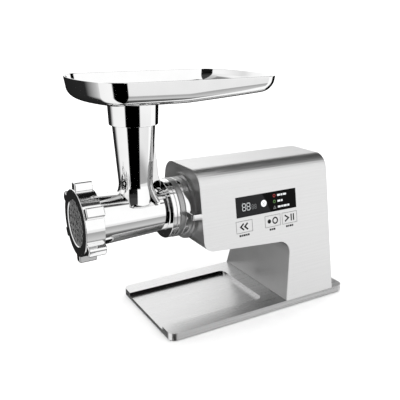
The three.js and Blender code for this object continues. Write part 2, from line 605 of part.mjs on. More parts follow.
// ---- Gears and shafts --------------------------------------------------------------------------
// An involute gear; one tooth points in the direction of phase.
function gear(teeth, size, x0, x1, bore, at, phase) {
  const pitch = size * teeth / 2;
  const base = pitch * Math.cos(PRESSURE);
  const root = pitch - 1.1 * size;
  const involute = (angle) => Math.tan(angle) - angle;
  const halfAngle = (radius) => Math.PI / 2 / teeth - BACKLASH / pitch + involute(PRESSURE)
    - involute(Math.acos(Math.min(1, base / Math.max(radius, base))));
  const radii = [root, ...(base > root ? [base] : []), pitch + 0.8 * size];
  const flank = radii.map((radius) => [radius, halfAngle(radius)]);
  const outline = Array.from({ length: teeth }, (_, i) => {
    const middle = phase + 2 * Math.PI * i / teeth;
    const rising = flank.map(([radius, angle]) => [radius, middle - angle]);
    const falling = flank.map(([radius, angle]) => [radius, middle + angle]).reverse();
    return [...rising, ...falling];
  }).flat();
  const shape = new THREE.Shape(outline.map(([radius, angle]) =>
    new THREE.Vector2(at[0] + radius * Math.cos(angle), at[1] + radius * Math.sin(angle))));
  const solid = alongX(shape, x0, x1);
  return bore > 0 ? solid.subtract(rodX(x0 - 1, x1 + 1, bore, at)) : solid;
}

// The phase that puts a driven gear in mesh with a driver whose tooth points along driverPhase.
function meshPhase(direction, driverTeeth, driverPhase, teeth) {
  return direction + Math.PI - (driverTeeth * (driverPhase - direction) + Math.PI) / teeth;
}

const OUTPUT_PHASE = LINE;
const LAY_PINION_PHASE = meshPhase(LINE, GEARS.wheel, OUTPUT_PHASE, GEARS.pinion);
const LAY_WHEEL_PHASE = LINE + Math.PI;
const MOTOR_PHASE = meshPhase(LINE + Math.PI, GEARS.wheel, LAY_WHEEL_PHASE, GEARS.pinion);
const driveCoupling = () => {
  const [front, rear] = DRIVE.coupling;
  return rodX(front, rear, DRIVE.couplingRadius)
    .subtract(prismX(front - 4, DRIVE.tangRoom, 6, AUGER.tangFlats + 0.8))
    .subtract(rodX(DRIVE.tangRoom - 0.5, rear + 7, SHAFT.output + GAP));
};

const outputGear = () => gear(GEARS.wheel, GEARS.slow, ...DRIVE.outputGear, SHAFT.output + GAP,
  OUTPUT, OUTPUT_PHASE);
const layshaftPinion = () => gear(GEARS.pinion, GEARS.slow, ...DRIVE.layshaftPinion,
  SHAFT.lay + GAP, LAYSHAFT, LAY_PINION_PHASE);
const layshaftGear = () => gear(GEARS.wheel, GEARS.fast, ...DRIVE.layshaftGear, SHAFT.lay + GAP,
  LAYSHAFT, LAY_WHEEL_PHASE);
const motorShaft = () => gear(GEARS.pinion, GEARS.fast, ...DRIVE.motorPinion, 0, MOTOR, MOTOR_PHASE)
  .add(rodX(DRIVE.motorPinion[0], ROTOR.shaftRear, SHAFT.motor, MOTOR));

// ---- Gearbox -----------------------------------------------------------------------------------
function gearboxHousing() {
  const b = GEARBOX;
  const inside = alongX(rounded(inset(b.outline, b.wall)), b.inside, b.rear + 14, 2);
  const shell = alongX(rounded(b.outline), b.front, b.rear, 2).subtract(inside);
  return shell.add(rodX(...b.hub, b.hubRadius)).subtract(rodX(70, 95, DRIVE.bearingRadius + GAP))
    .subtract(rodX(70, 90, SHAFT.lay + GAP, LAYSHAFT));
}

const gearboxCover = () => alongX(rounded(GEARBOX.outline), GEARBOX.rear + GAP, GEARBOX.coverRear, 2)
  .subtract(rodX(110, 125, SHAFT.lay + GAP, LAYSHAFT)).subtract(rodX(110, 125, 7, MOTOR));

const bearing = ([x0, x1], inner, outer, at) => tubeX(x0, x1, inner + GAP, outer, at);

// ---- Motor -------------------------------------------------------------------------------------
// A bell with its bearing hub at one end and its rim against the stator at the other.
function endBracket(hubX, rimX) {
  const way = Math.sign(rimX - hubX);
  const hub = hubX + way * BRACKET.depth;
  const web = hub - way * BRACKET.web;
  const bore = BRACKET.bearing + GAP;
  return turnedX([[hubX, bore], [hubX, BRACKET.hub], [web, BRACKET.hub], [web, FIELD.outer],
    [rimX, FIELD.outer], [rimX, FIELD.outer - 3], [hub, FIELD.outer - 3], [hub, bore], [hubX, bore]],
    MOTOR, 20);
}

function motorStator() {
  const [front, rear] = FIELD.stator;
  const [y, z] = MOTOR;
  const ring = tubeX(front, rear, FIELD.inner, FIELD.outer, MOTOR, 20);
  const poles = box(front, rear, y - FIELD.poleHalf, y + FIELD.poleHalf, z - FIELD.poleReach,
    z + FIELD.poleReach);
  return ring.add(poles).subtract(rodX(front - 8, rear + 8, FIELD.bore, MOTOR, 20));
}

// One field coil, wound round a pole of the stator; side is +1 above the shaft and -1 below it.
function fieldCoil(side) {
  const [y, z] = MOTOR;
  const [front, rear] = FIELD.stator;
  const pole = FIELD.poleHalf + GAP;
  const [low, high] = [z + side * FIELD.coilLow, z + side * FIELD.coilHigh].sort((a, b) => a - b);
  const winding = box(...FIELD.coil, y - FIELD.coilHalf, y + FIELD.coilHalf, low, high);
  return winding.subtract(box(front - GAP, rear + GAP, y - pole, y + pole, low - 1, high + 1));
}

// Eight flat blades or slots round the motor shaft, from one radius out to another.
const spokes = (count, x0, x1, half, from, to) => Array.from({ length: count }, (_, i) =>
  box(x0, x1, -half, half, from, to).rotate([360 / count * i, 0, 0]).translate([0, ...MOTOR]));

function armature() {
  const [front, rear] = ROTOR.core;
  const core = rodX(front, rear, ROTOR.coreRadius, MOTOR);
  const slots = spokes(ROTOR.slots, front - 1, rear + 1, 1.2, ROTOR.slotFloor, ROTOR.coreRadius + 6);
  const windings = rodX(...ROTOR.winding, ROTOR.windingRadius, MOTOR);
  return slots.reduce((all, slot) => all.subtract(slot), core).add(windings)
    .subtract(rodX(140, 230, SHAFT.motor + GAP, MOTOR));
}

function coolingFan() {
  const disc = rodX(...FAN.disc, FAN.radius, MOTOR);
  const hub = rodX(FAN.disc[0], FAN.hubRear, FAN.hubRadius, MOTOR);
  return join([disc, hub, ...spokes(8, ...FAN.blades, 0.8, FAN.hubRadius - 2, FAN.reach)])
    .subtract(rodX(250, 280, SHAFT.motor + GAP, MOTOR));
}

// A brush tube and its carbon, on one side of the commutator (side is +1 or -1 along Y).
function brushHolder(side) {
  const [y, z] = MOTOR;
  const [front, rear] = BRUSH.holder;
  const [a, b] = [y + side * BRUSH.from, y + side * BRUSH.to].sort((p, q) => p - q);
  const room = BRUSH.half - 2;
  return box(front, rear, a, b, z - BRUSH.half, z + BRUSH.half)
    .subtract(box(front + 2, rear - 2, a - 1, b + 1, z - room, z + room));
}

function carbonBrush(side) {
  const [y, z] = MOTOR;
  const [front, rear] = BRUSH.holder;
  const [a, b] = [y + side * BRUSH.carbonFrom, y + side * BRUSH.carbonTo].sort((p, q) => p - q);
  const half = BRUSH.half - 2.4;
  return box(front + 2.4, rear - 2.4, a, b, z - half, z + half);
}

// ---- Electronics in the leg --------------------------------------------------------------------
const powerBoard = () => box(232, 292, -42, 42, 22, 23.6);
const runCapacitor = () => turnedZ(rodProfile(24, 72, 13), 268, 18, SMALL);

// ---- Assembly ----------------------------------------------------------------------------------
const parts = [
  toMesh('base_plate', basePlate(), BRUSHED),
  toMesh('base_bottom_cover', bottomCover(), BLACK),
  ...footPlaces().map((place, i) => toMesh(`rubber_foot_${i + 1}`, rubberFoot(place), RUBBER)),
  toMesh('body_shell', bodyShell(), BRUSHED),
  toMesh('front_cap', frontCap(), SATIN),
  toMesh('leg_cover', legCover(), SATIN),
  toMesh('rear_cover', rearCover(), SATIN),
  ...SCREWS.map((at, i) => toMesh(`cover_screw_${i + 1}`, coverScrew(at), STEEL)),
  toMesh('cable_gland', cableGland(), BLACK),
  toMesh('display_window', grownBlock(PANEL.glass, 0, -2.6, 0.4), BLACK_GLASS),
  toMesh('display_board', displayBoard(), GREEN),
  ...BUTTONS.map(([name, x]) => toMesh(name, button(x), BRUSHED)),
  toMesh('head_socket', headSocket(), BRUSHED),
  toMesh('lock_ring', lockRing(), POLISHED),
  toMesh('head_casting', headCasting(), POLISHED),
  toMesh('head_throat', headThroat(), POLISHED),
  toMesh('head_bush', headBush(), NYLON),
  toMesh('thrust_washer', thrustWasher(), NYLON),
  toMesh('auger', auger(), STEEL),
  toMesh('cutting_knife', cuttingKnife(), STEEL),
  toMesh('cutting_plate', cuttingPlate(), STEEL),
  toMesh('ring_nut', ringNut(), POLISHED),
  toMesh('hopper_tray', hopperTray(), POLISHED),
  toMesh('tray_collar', trayCollar(), POLISHED),
  toMesh('drive_coupling', driveCoupling(), STEEL),
  toMesh('output_shaft', rodX(...DRIVE.outputShaft, SHAFT.output), STEEL),
  toMesh('output_gear', outputGear(), STEEL),
  ...['front', 'rear'].map((end, i) => toMesh(`output_bearing_${end}`,
    bearing(DRIVE.bearings[i], SHAFT.output, DRIVE.bearingRadius, OUTPUT), STEEL)),
  toMesh('layshaft', rodX(...DRIVE.layshaft, SHAFT.lay, LAYSHAFT), STEEL),
  toMesh('layshaft_pinion', layshaftPinion(), STEEL),
  toMesh('layshaft_gear', layshaftGear(), NYLON),
  toMesh('gearbox_housing', gearboxHousing(), SATIN),
  toMesh('gearbox_cover', gearboxCover(), SATIN),
  toMesh('motor_shaft', motorShaft(), STEEL),
  toMesh('armature', armature(), COPPER),
  toMesh('commutator', tubeX(...ROTOR.commutator, SHAFT.motor + GAP, ROTOR.commutatorRadius, MOTOR),
    BRONZE),
  toMesh('cooling_fan', coolingFan(), NYLON),
  toMesh('motor_stator', motorStator(), STEEL),
  toMesh('field_coil_upper', fieldCoil(1), COPPER),
  toMesh('field_coil_lower', fieldCoil(-1), COPPER),
  toMesh('motor_front_bracket', endBracket(BRACKET.front, FIELD.stator[0] - GAP), SATIN),
  toMesh('motor_rear_bracket', endBracket(BRACKET.rear, FIELD.stator[1] + GAP), SATIN),
  toMesh('motor_bearing_front', bearing([BRACKET.front + 0.5, BRACKET.front + 7.5], SHAFT.motor,
    BRACKET.bearing, MOTOR), STEEL),
  toMesh('motor_bearing_rear', bearing([BRACKET.rear - 8, BRACKET.rear - 1], SHAFT.motor,
    BRACKET.bearing, MOTOR), STEEL),
  ...[['left', -1], ['right', 1]].flatMap(([name, side]) => [
    toMesh(`brush_holder_${name}`, brushHolder(side), BRONZE),
    toMesh(`carbon_brush_${name}`, carbonBrush(side), BLACK),
  ]),
  toMesh('power_board', powerBoard(), GREEN),
  toMesh('run_capacitor', runCapacitor(), BLACK),
];

const grinder = new THREE.Group();
grinder.add(...parts);
grinder.position.x = -ORIGIN_X;

export default grinder;
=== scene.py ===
import math

import bmesh
import bpy
from mathutils import Matrix, Vector


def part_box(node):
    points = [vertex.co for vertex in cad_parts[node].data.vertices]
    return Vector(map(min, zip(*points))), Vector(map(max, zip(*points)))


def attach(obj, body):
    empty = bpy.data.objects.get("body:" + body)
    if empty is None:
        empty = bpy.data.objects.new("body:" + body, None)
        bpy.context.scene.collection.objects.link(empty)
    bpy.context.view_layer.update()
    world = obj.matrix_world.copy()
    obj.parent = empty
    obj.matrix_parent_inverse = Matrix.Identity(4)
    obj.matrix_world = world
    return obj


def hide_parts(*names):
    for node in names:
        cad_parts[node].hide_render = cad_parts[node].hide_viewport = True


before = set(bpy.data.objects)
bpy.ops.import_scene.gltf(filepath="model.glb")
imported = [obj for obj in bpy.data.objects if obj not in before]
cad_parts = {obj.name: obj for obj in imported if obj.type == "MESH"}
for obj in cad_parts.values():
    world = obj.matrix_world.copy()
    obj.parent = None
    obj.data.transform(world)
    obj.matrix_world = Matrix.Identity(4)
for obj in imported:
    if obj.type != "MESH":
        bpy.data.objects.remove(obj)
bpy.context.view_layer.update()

# ---- Where things are -----------------------------------------------------------------------
# Lengths below are millimetres in the machine's own drawing: x from the front edge of the base,
# y from the middle, z from the table. place() turns them into metres in the row's frame.
MM = 0.001
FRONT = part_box("base_plate")[0].x
AXIS_Z = sum(c.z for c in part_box("ring_nut")) / 2 / MM  # height of the auger's axis
THROAT_X = -8.0

BARREL = {"front": -97.5, "mouth": 39.2, "mouth_rear": -75, "front_radius": 37, "rear_radius": 32.2,
          "seat": 35.4, "seat_rear": -86.9, "bore": 29.5, "bore_rear": 24, "wall_rear": 30,
          "shaft_hole": 12.3}
FLANGE = {"front": 30, "groove": 35.6, "rear": 41.3, "radius": 44.4, "groove_radius": 43.2}
SHANK = {"rear": 62, "radius": 34, "bore": 30}
NECK = {"top": 338, "top_radius": 30.8, "waist": 303, "waist_radius": 30.2, "low": 207.5,
        "low_radius": 23.5, "flare_top": 224, "flare_height": 28, "flare": 11, "bore_top": 27.8,
        "bore_low": 19, "foot": 205, "lowest_foot": 193, "hidden_foot": 202}
RING = {"front": -100.5, "rear": -73.5, "radius": 47.9, "thread": 39.6, "lip": 33, "edge": 1.2,
        "lugs": 6, "lug_radius": 58.6, "lug_width": 14, "lug_front": -99.5}
PLATE = {"front": -98.2, "rear": -92.2, "radius": 34.9, "hole": 2.6, "pin": 4.4,
         "circles": [(10.4, 6), (18.4, 11), (26.6, 16)]}  # radius and number of holes
SOCKET = {"front": 41.6, "collar_rear": 49.6, "collar": 45, "bore": 34.4, "tube": 39.4,
          "rear": 75.2, "flange": 46, "cap": 69.5, "shaft_hole": 16}
LOCK = {"front": 50, "rear": 62, "bore": 39.8, "radius": 45, "grip_rear": 65.6, "grip_start": 52,
        "lever_front": 65, "lever_rear": 66.5, "height": 173, "thickness": 8.8}
TRAY = {"rim": 367.8, "floor": 338.3, "wall": 1.5, "centre": 47.55, "half_length": 122.55,
        "half_width": 94.9, "corner": 22, "end_bow": 17.3, "side_bow": 5.5, "edge": 14,
        "slope_start": 30, "slope": 0.0605, "draft": 0.00116, "lip": 0.75}
COLLAR = {"bottom": 303, "bore": 31.4, "bottom_radius": 34.2, "top_radius": 35.6, "hole": 28}
DISPLAY = {"lift": 0.46, "knife": (174.8, 175.1), "lamps": 195, "labels": 201,
           "rows": (184, 175, 166)}
BUTTON = {"height": 145.6, "reverse": 137, "power": 190, "start": 223, "half_width": 14.5,
          "half_height": 8.7}  # the frames' size, just past the buttons' own
RECESS_FAR = 55.0  # the recess's far wall lies past this, across the machine
# The housing's side leans in from its foot to its top: half widths and heights.
SIDE = {"half_bottom": 89.6, "half_top": 52.2, "bottom": 13.3, "top": 235.3, "reference": 165}


def place(x, y, z):
    """A point of the drawing, in metres in the frame."""
    return Vector((FRONT + x * MM, y * MM, z * MM))


def throat_point(radius, angle, z):
    """A point at a radius and angle round the throat's axis."""
    return place(THROAT_X + radius * math.cos(angle), radius * math.sin(angle), z)


# ---- Node materials -------------------------------------------------------------------------
MIX_A, MIX_B, MIX_RESULT = 6, 7, 2  # the colour sockets of Blender's Mix node


class Tree:
    """A node tree, with short ways to add the nodes used here."""

    def __init__(self, tree):
        self.tree = tree

    def link(self, value, socket):
        if isinstance(value, (int, float, tuple)):
            socket.default_value = value
        else:
            self.tree.links.new(value, socket)

    def node(self, kind, **values):
        node = self.tree.nodes.new(kind)
        for name, value in values.items():
            setattr(node, name, value)
        return node

    def math(self, operation, a, b=0.0):
        node = self.node("ShaderNodeMath", operation=operation)
        self.link(a, node.inputs[0])
        self.link(b, node.inputs[1])
        return node.outputs[0]

    def ramp(self, value, stops):
        node = self.node("ShaderNodeValToRGB")
        self.link(value, node.inputs["Fac"])
        elements = node.color_ramp.elements
        while len(elements) < len(stops):
            elements.new(0.5)
        for element, (position, colour) in zip(elements, stops):
            element.position = position
            element.color = (*colour, 1.0)
        return node.outputs["Color"]

    def mix(self, factor, a, b, blend="MIX"):
        node = self.node("ShaderNodeMix", data_type="RGBA", blend_type=blend)
        self.link(factor, node.inputs["Factor"])
        self.link(a, node.inputs[MIX_A])
        self.link(b, node.inputs[MIX_B])
        return node.outputs[MIX_RESULT]

    def split(self, vector):
        """The X, Y and Z of a vector."""
        node = self.node("ShaderNodeSeparateXYZ")
        self.link(vector, node.inputs[0])
        return node.outputs


class Nodes(Tree):
    """A new material's node tree, round its Principled shader."""

    def __init__(self, name):
        self.material = bpy.data.materials.new(name)
        self.material.use_nodes = True
        super().__init__(self.material.node_tree)
        self.shader = self.tree.nodes["Principled BSDF"]
        coordinates = self.node("ShaderNodeTexCoord")
        self.place = coordinates.outputs["Object"]
        self.normal = coordinates.outputs["Normal"]

    def stretched(self, scale=(1, 1, 1)):
        mapping = self.node("ShaderNodeMapping")
        self.link(self.place, mapping.inputs["Vector"])
        mapping.inputs["Scale"].default_value = scale
        return mapping.outputs[0]

    def noise(self, vector, scale=1.0, detail=3.0, roughness=0.5):
        node = self.node("ShaderNodeTexNoise")
        self.link(vector, node.inputs["Vector"])
        node.inputs["Scale"].default_value = scale
        node.inputs["Detail"].default_value = detail
        node.inputs["Roughness"].default_value = roughness
        return node.outputs["Fac"]

    def spread(self, value, low, high, start=0.0, end=1.0):
        node = self.node("ShaderNodeMapRange")
        self.link(value, node.inputs["Value"])
        node.inputs["From Min"].default_value = start
        node.inputs["From Max"].default_value = end
        node.inputs["To Min"].default_value = low
        node.inputs["To Max"].default_value = high
        return node.outputs[0]

    def around_axis(self, z):
        """Distance from the line along X at height z (metres)."""
        parts = self.split(self.place)
        up = self.math("SUBTRACT", parts["Z"], z)
        y2 = self.math("MULTIPLY", parts["Y"], parts["Y"])
        return self.math("SQRT", self.math("ADD", y2, self.math("MULTIPLY", up, up)))

    def far_wall_shade(self, y):
        """One on faces that look towards -Y and lie past y (metres), nought on the rest: where the
        painted shade goes.
        """
        looks = self.math("LESS_THAN", self.split(self.normal)["Y"], -0.5)
        return self.math("MULTIPLY", looks, self.math("GREATER_THAN", self.split(self.place)["Y"], y))

    def bump(self, height, strength, distance):
        node = self.node("ShaderNodeBump")
        node.inputs["Strength"].default_value = strength
        node.inputs["Distance"].default_value = distance
        self.link(height, node.inputs["Height"])
        self.link(node.outputs[0], self.shader.inputs["Normal"])

    def set(self, **values):
        names = {"colour": "Base Color", "roughness": "Roughness", "metallic": "Metallic",
                 "ior": "IOR", "specular": "Specular IOR Level"}
        for name, value in values.items():
            self.link(value, self.shader.inputs[names[name]])
        return self.material


def grey(value):
    """A neutral colour."""
    return (value, value, value)


def polished():
    """Mirror-polished steel: faint polishing haze and the fine waviness of a buffed casting."""
    n = Nodes("polished_steel")
    haze = n.noise(n.stretched(), 55, 4)
    fine = n.noise(n.stretched(), 900, 2)
    n.bump(haze, 0.02, 0.0004)
    tone = n.ramp(haze, [(0.3, grey(0.87)), (0.7, grey(0.9))])
    rough = n.math("ADD", n.spread(haze, 0.035, 0.075, 0.3, 0.7), n.spread(fine, 0, 0.012))
    return n.set(colour=tone, roughness=rough, metallic=1.0)


def brushed(name, along, value=0.8, depth=0.16, low=0.26, high=0.42, streak=0.055, recess=False):
    """Brushed sheet: long fine scratches that run along one axis. With recess set, the recess's far
    wall gets painted shade, near black.
    """
    n = Nodes(name)
    fine = [2600.0, 2600.0, 2600.0]
    broad = [420.0, 420.0, 420.0]
    fine[along] = 22.0
    broad[along] = 5.0
    scratches = n.noise(n.stretched(tuple(fine)), 1, 2, 0.6)
    bands = n.noise(n.stretched(tuple(broad)), 1, 3, 0.6)
    both = n.math("ADD", n.math("MULTIPLY", scratches, 0.45), n.math("MULTIPLY", bands, 0.55))
    tone = n.ramp(both, [(0.3, grey(value - streak)), (0.5, grey(value)),
                         (0.7, grey(min(value + streak, 1.0)))])
    n.bump(both, depth, 0.0001)
    if recess:
        # painted shade: the far wall of the recess is painted near black
        tone = n.mix(n.far_wall_shade(RECESS_FAR * MM), tone, (*grey(0.012), 1.0))
    return n.set(colour=tone, roughness=n.spread(both, low, high, 0.3, 0.7), metallic=1.0)


def satin(name, value, rough=0.42, metallic=0.75, grain=1400):
    """Painted satin metal with a fine sprayed grain."""
    n = Nodes(name)
    fine = n.noise(n.stretched(), grain, 3, 0.6)
    broad = n.noise(n.stretched(), 26, 3)
    n.bump(fine, 0.12, 0.00006)
    tone = n.ramp(n.math("ADD", n.math("MULTIPLY", fine, 0.6), n.math("MULTIPLY", broad, 0.4)),
                  [(0.3, grey(value * 0.88)), (0.7, grey(value * 1.08))])
    return n.set(colour=tone, roughness=n.spread(broad, rough - 0.05, rough + 0.05, 0.3, 0.7),
                 metallic=metallic)


def turned(name, value=0.5, pitch=5200, low=0.2, high=0.36):
    """Turned and ground steel: concentric tool marks round the auger's axis."""
    n = Nodes(name)
    radius = n.around_axis(AXIS_Z * MM)
    grain = n.noise(n.math("MULTIPLY", radius, pitch), 1, 3, 0.6)
    cloud = n.noise(n.stretched(), 120, 4)
    mix = n.math("ADD", n.math("MULTIPLY", grain, 0.5), n.math("MULTIPLY", cloud, 0.5))
    n.bump(grain, 0.15, 0.00008)
    tone = n.ramp(mix, [(0.3, grey(value * 0.8)), (0.7, grey(value * 1.15))])
    return n.set(colour=tone, roughness=n.spread(mix, low, high, 0.3, 0.7), metallic=1.0)


def moulded(name, colour, rough=0.5, grain=900, depth=0.2, metallic=0.0):
    """Moulded plastic or rubber with a spark-eroded grain."""
    n = Nodes(name)
    fine = n.noise(n.stretched(), grain, 4, 0.6)
    broad = n.noise(n.stretched(), 40, 3)
    n.bump(fine, depth, 0.0001)
    tone = n.ramp(broad, [(0.3, tuple(c * 0.86 for c in colour)),
                          (0.7, tuple(min(c * 1.1, 1.0) for c in colour))])
    return n.set(colour=tone, roughness=n.spread(fine, rough - 0.08, rough + 0.08, 0.3, 0.7),
                 metallic=metallic)


def layered(name, colour, pitch):
    """Thin layers or turns of wire, seen as fine lines across the X axis."""
    n = Nodes(name)
    wave = n.node("ShaderNodeTexWave", wave_type="BANDS", bands_direction="X", wave_profile="SIN")
    n.link(n.stretched((pitch, 1, 1)), wave.inputs["Vector"])
    wave.inputs["Scale"].default_value = 1.0
    lines = wave.outputs["Fac"]
    cloud = n.noise(n.stretched(), 90, 3)
    mix = n.math("ADD", n.math("MULTIPLY", lines, 0.7), n.math("MULTIPLY", cloud, 0.3))
    n.bump(lines, 0.3, 0.0003)
    tone = n.ramp(mix, [(0.1, tuple(c * 0.55 for c in colour)), (0.9, colour)])
    return n.set(colour=tone, roughness=n.spread(cloud, 0.32, 0.48, 0.3, 0.7), metallic=1.0)


def circuit_board():
    """Green solder resist over copper tracks."""
    n = Nodes("circuit_board")
    brick = n.node("ShaderNodeTexBrick")
    n.link(n.stretched((260, 260, 260)), brick.inputs["Vector"])
    brick.inputs["Color1"].default_value = (0.02, 0.16, 0.06, 1)
    brick.inputs["Color2"].default_value = (0.03, 0.22, 0.08, 1)
    brick.inputs["Mortar"].default_value = (0.05, 0.33, 0.12, 1)
    brick.inputs["Scale"].default_value = 1.0
    brick.inputs["Mortar Size"].default_value = 0.03
    fine = n.noise(n.stretched(), 700, 3)
    n.bump(fine, 0.1, 0.0001)
    return n.set(colour=brick.outputs["Color"], roughness=n.spread(fine, 0.3, 0.45), metallic=0.0)


def black_glass():
    """Smoked glass over black, with a painted sheen: a shade lighter left of a slanting line."""
    n = Nodes("black_glass")
    parts = n.split(n.place)
    high, low = place(172.3, 0, 191.5), place(186.8, 0, 161.3)
    slope = (low.x - high.x) / (low.z - high.z)
    # painted sheen: the glass is a shade lighter left of the slanting line, standing in for a sheen
    # across it
    line = n.math("SUBTRACT", n.math("SUBTRACT", parts["X"], high.x),
                  n.math("MULTIPLY", n.math("SUBTRACT", parts["Z"], high.z), slope))
    fine = n.noise(n.stretched(), 240, 3)
    side = n.spread(line, 0.0, 1.0, -0.0002, 0.0002)
    tone = n.ramp(side, [(0.0, (0.016, 0.016, 0.017)), (1.0, (0.002, 0.002, 0.002))])
    n.bump(fine, 0.01, 0.0001)
    return n.set(colour=tone, roughness=n.spread(fine, 0.1, 0.16), metallic=0.0, ior=1.13)


def printed(name, colour):
    """Screen-printed ink with a slightly uneven lay-down."""
    n = Nodes(name)
    fine = n.noise(n.stretched(), 1500, 3)
    tone = n.ramp(fine, [(0.3, tuple(c * 0.9 for c in colour)), (0.7, colour)])
    n.bump(fine, 0.05, 0.00002)
    return n.set(colour=tone, roughness=n.spread(fine, 0.44, 0.56), metallic=0.0, specular=0.1)


def lit(name, colour, strength):
    """A printed mark on the display that glows a little."""
    n = Nodes(name)
    fine = n.noise(n.stretched(), 1200, 2)
    tone = n.ramp(fine, [(0.3, tuple(c * 0.85 for c in colour)), (0.7, colour)])
    n.link(tone, n.shader.inputs["Emission Color"])
    n.shader.inputs["Emission Strength"].default_value = strength
    return n.set(colour=tone, roughness=n.spread(fine, 0.35, 0.5), metallic=0.0)


CHROME = polished()
BODY = brushed("brushed_body", 0, value=0.75, streak=0.04)
BASE_STEEL = brushed("brushed_base", 0, value=0.76, streak=0.08, low=0.22, high=0.38, recess=True)
SATIN_GREY = satin("satin_cover", 0.43, rough=0.34, metallic=0.95)
SOCKET_STEEL = satin("socket_steel", 0.4, rough=0.3, metallic=0.9)
TURNED = turned("machined_steel")
DARK_PLATE = turned("cutting_plate_steel", value=0.42, low=0.36, high=0.5)
GLASS = black_glass()
BLACK_PLASTIC = moulded("black_plastic", (0.03, 0.03, 0.032))
RUBBER = moulded("rubber", (0.02, 0.02, 0.02), rough=0.75)
NYLON = moulded("nylon", (0.82, 0.79, 0.7), rough=0.45)
ALUMINIUM = moulded("cast_aluminium", (0.55, 0.56, 0.57), rough=0.4, grain=500, metallic=1.0)
LAMINATED = layered("laminated_steel", (0.35, 0.36, 0.38), 6000)
COPPER = layered("copper_winding", (0.75, 0.36, 0.17), 4200)
BOARD = circuit_board()
BLACK_INK = printed("black_ink", (0.012, 0.012, 0.012))
GREY_INK = printed("grey_ink", (0.1, 0.1, 0.1))
WHITE_MARK = lit("white_mark", (0.75, 0.77, 0.78), 0.35)
DIGIT_MARK = lit("digit_mark", (0.55, 0.57, 0.58), 0.35)
DIM_MARK = lit("dim_mark", (0.16, 0.165, 0.17), 0.1)
RED_MARK = lit("red_mark", (0.3, 0.02, 0.02), 0.25)
GREEN_MARK = lit("green_mark", (0.08, 0.2, 0.05), 0.25)


# ---- Building pieces ------------------------------------------------------------------------
def finish_piece(name, mesh, material, body, stands_for=(), angle=35.0):
    """Makes a mesh a piece that rides on a body, with its material and its nodes."""
    piece = bpy.data.objects.new(name, mesh)
    bpy.context.scene.collection.objects.link(piece)
    mesh.materials.clear()
    mesh.materials.append(material)
    smooth(piece, angle=angle)
    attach(piece, body)
    if stands_for:
        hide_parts(*stands_for)
    return piece


def smooth(piece, bevel=0.0, angle=35.0):
    """Smooth shading that stays crisp over sharp edges, with an optional fine bevel on them."""
    mesh = piece.data
    mesh.shade_smooth()
    if bevel:
        modifier = piece.modifiers.new("edges", "BEVEL")
        modifier.width = bevel * MM
        modifier.segments = 3
        modifier.limit_method = "ANGLE"
        modifier.angle_limit = math.radians(angle)
        modifier.harden_normals = True
    mesh.set_sharp_from_angle(angle=math.radians(angle))
    weigh = piece.modifiers.new("flat_faces", "WEIGHTED_NORMAL")
    weigh.keep_sharp = True


def mesh_from(name, vertices, faces):
    """A mesh with its doubled points merged and its faces pointing out."""
    made = bmesh.new()
    points = [made.verts.new(v) for v in vertices]
    for face in faces:
        corners = [points[i] for i in dict.fromkeys(face)]
        if len(corners) > 2:
            made.faces.new(corners)
    bmesh.ops.remove_doubles(made, verts=made.verts, dist=1e-7)
    bmesh.ops.recalc_face_normals(made, faces=made.faces)
    mesh = bpy.data.meshes.new(name)
    made.to_mesh(mesh)
    made.free()
    return mesh


def round_corners(points, closed=True, steps=4):
    """Points are (a, b) or (a, b, radius): each corner with a radius becomes an arc."""
    result = []
    count = len(points)
    for i, (a, b, *radius) in enumerate(points):
        here = Vector((a, b))
        end = not closed and i in (0, count - 1)
        if not radius or radius[0] <= 0 or end:
            result.append(here)
            continue
        back = Vector(points[i - 1][:2]) - here
        ahead = Vector(points[(i + 1) % count][:2]) - here
        half = back.angle(ahead) / 2
        cut = min(radius[0] / math.tan(half), back.length * 0.49, ahead.length * 0.49)
        start, stop = here + back.normalized() * cut, here + ahead.normalized() * cut
        for k in range(steps + 1):
            t = k / steps
            result.append(start * (1 - t) ** 2 + here * 2 * t * (1 - t) + stop * t ** 2)
    return result


def lathe_x(profile, segments):
    """A closed (x, radius) profile turned about the auger's axis, as vertices and faces."""
    path = round_corners(profile)
    vertices = [place(x, r * math.sin(2 * math.pi * k / segments),
                      AXIS_Z + r * math.cos(2 * math.pi * k / segments))
                for x, r in path for k in range(segments)]
    return vertices, wall_faces(len(path), segments, True)


def lathe_z(profile, segments, closed=True):
    """A (height, radius) profile turned about the throat's axis."""
    path = round_corners(profile, closed)
    vertices = [throat_point(r, 2 * math.pi * k / segments, h)
                for h, r in path for k in range(segments)]
    return vertices, wall_faces(len(path), segments, closed)


def wall_faces(rows, segments, closed):
    """Quads between rows of points, each row a ring."""
    faces = []
    for i in range(rows if closed else rows - 1):
        j = (i + 1) % rows
        for k in range(segments):
            m = (k + 1) % segments
            faces.append((i * segments + k, i * segments + m, j * segments + m, j * segments + k))
    return faces


def together(*parts):
    """Several pairs of vertices and faces as one pair."""
    vertices, faces = [], []
    for more_vertices, more_faces in parts:
        start = len(vertices)
        vertices += more_vertices
        faces += [tuple(i + start for i in face) for face in more_faces]
    return vertices, faces


def flat_shape(loops, thickness, bevel=0.0):
    """A flat plate from closed 2-D loops in millimetres; inner loops are holes."""
    curve = bpy.data.curves.new("outline", "CURVE")
    curve.dimensions = "2D"
    curve.fill_mode = "BOTH"
    curve.extrude = (thickness / 2 - bevel) * MM
    curve.bevel_depth = bevel * MM
    curve.bevel_resolution = 2
    curve.offset = -bevel * MM
    for loop in loops:
        spline = curve.splines.new("POLY")
        spline.points.add(len(loop) - 1)
        for point, (x, y) in zip(spline.points, loop):
            point.co = (x * MM, y * MM, 0, 1)
        spline.use_cyclic_u = True
    drawn = bpy.data.objects.new("outline", curve)
    bpy.context.scene.collection.objects.link(drawn)
    bpy.context.view_layer.update()
    mesh = bpy.data.meshes.new_from_object(drawn.evaluated_get(bpy.context.evaluated_depsgraph_get()))
    bpy.data.objects.remove(drawn)
    bpy.data.curves.remove(curve)
    return mesh


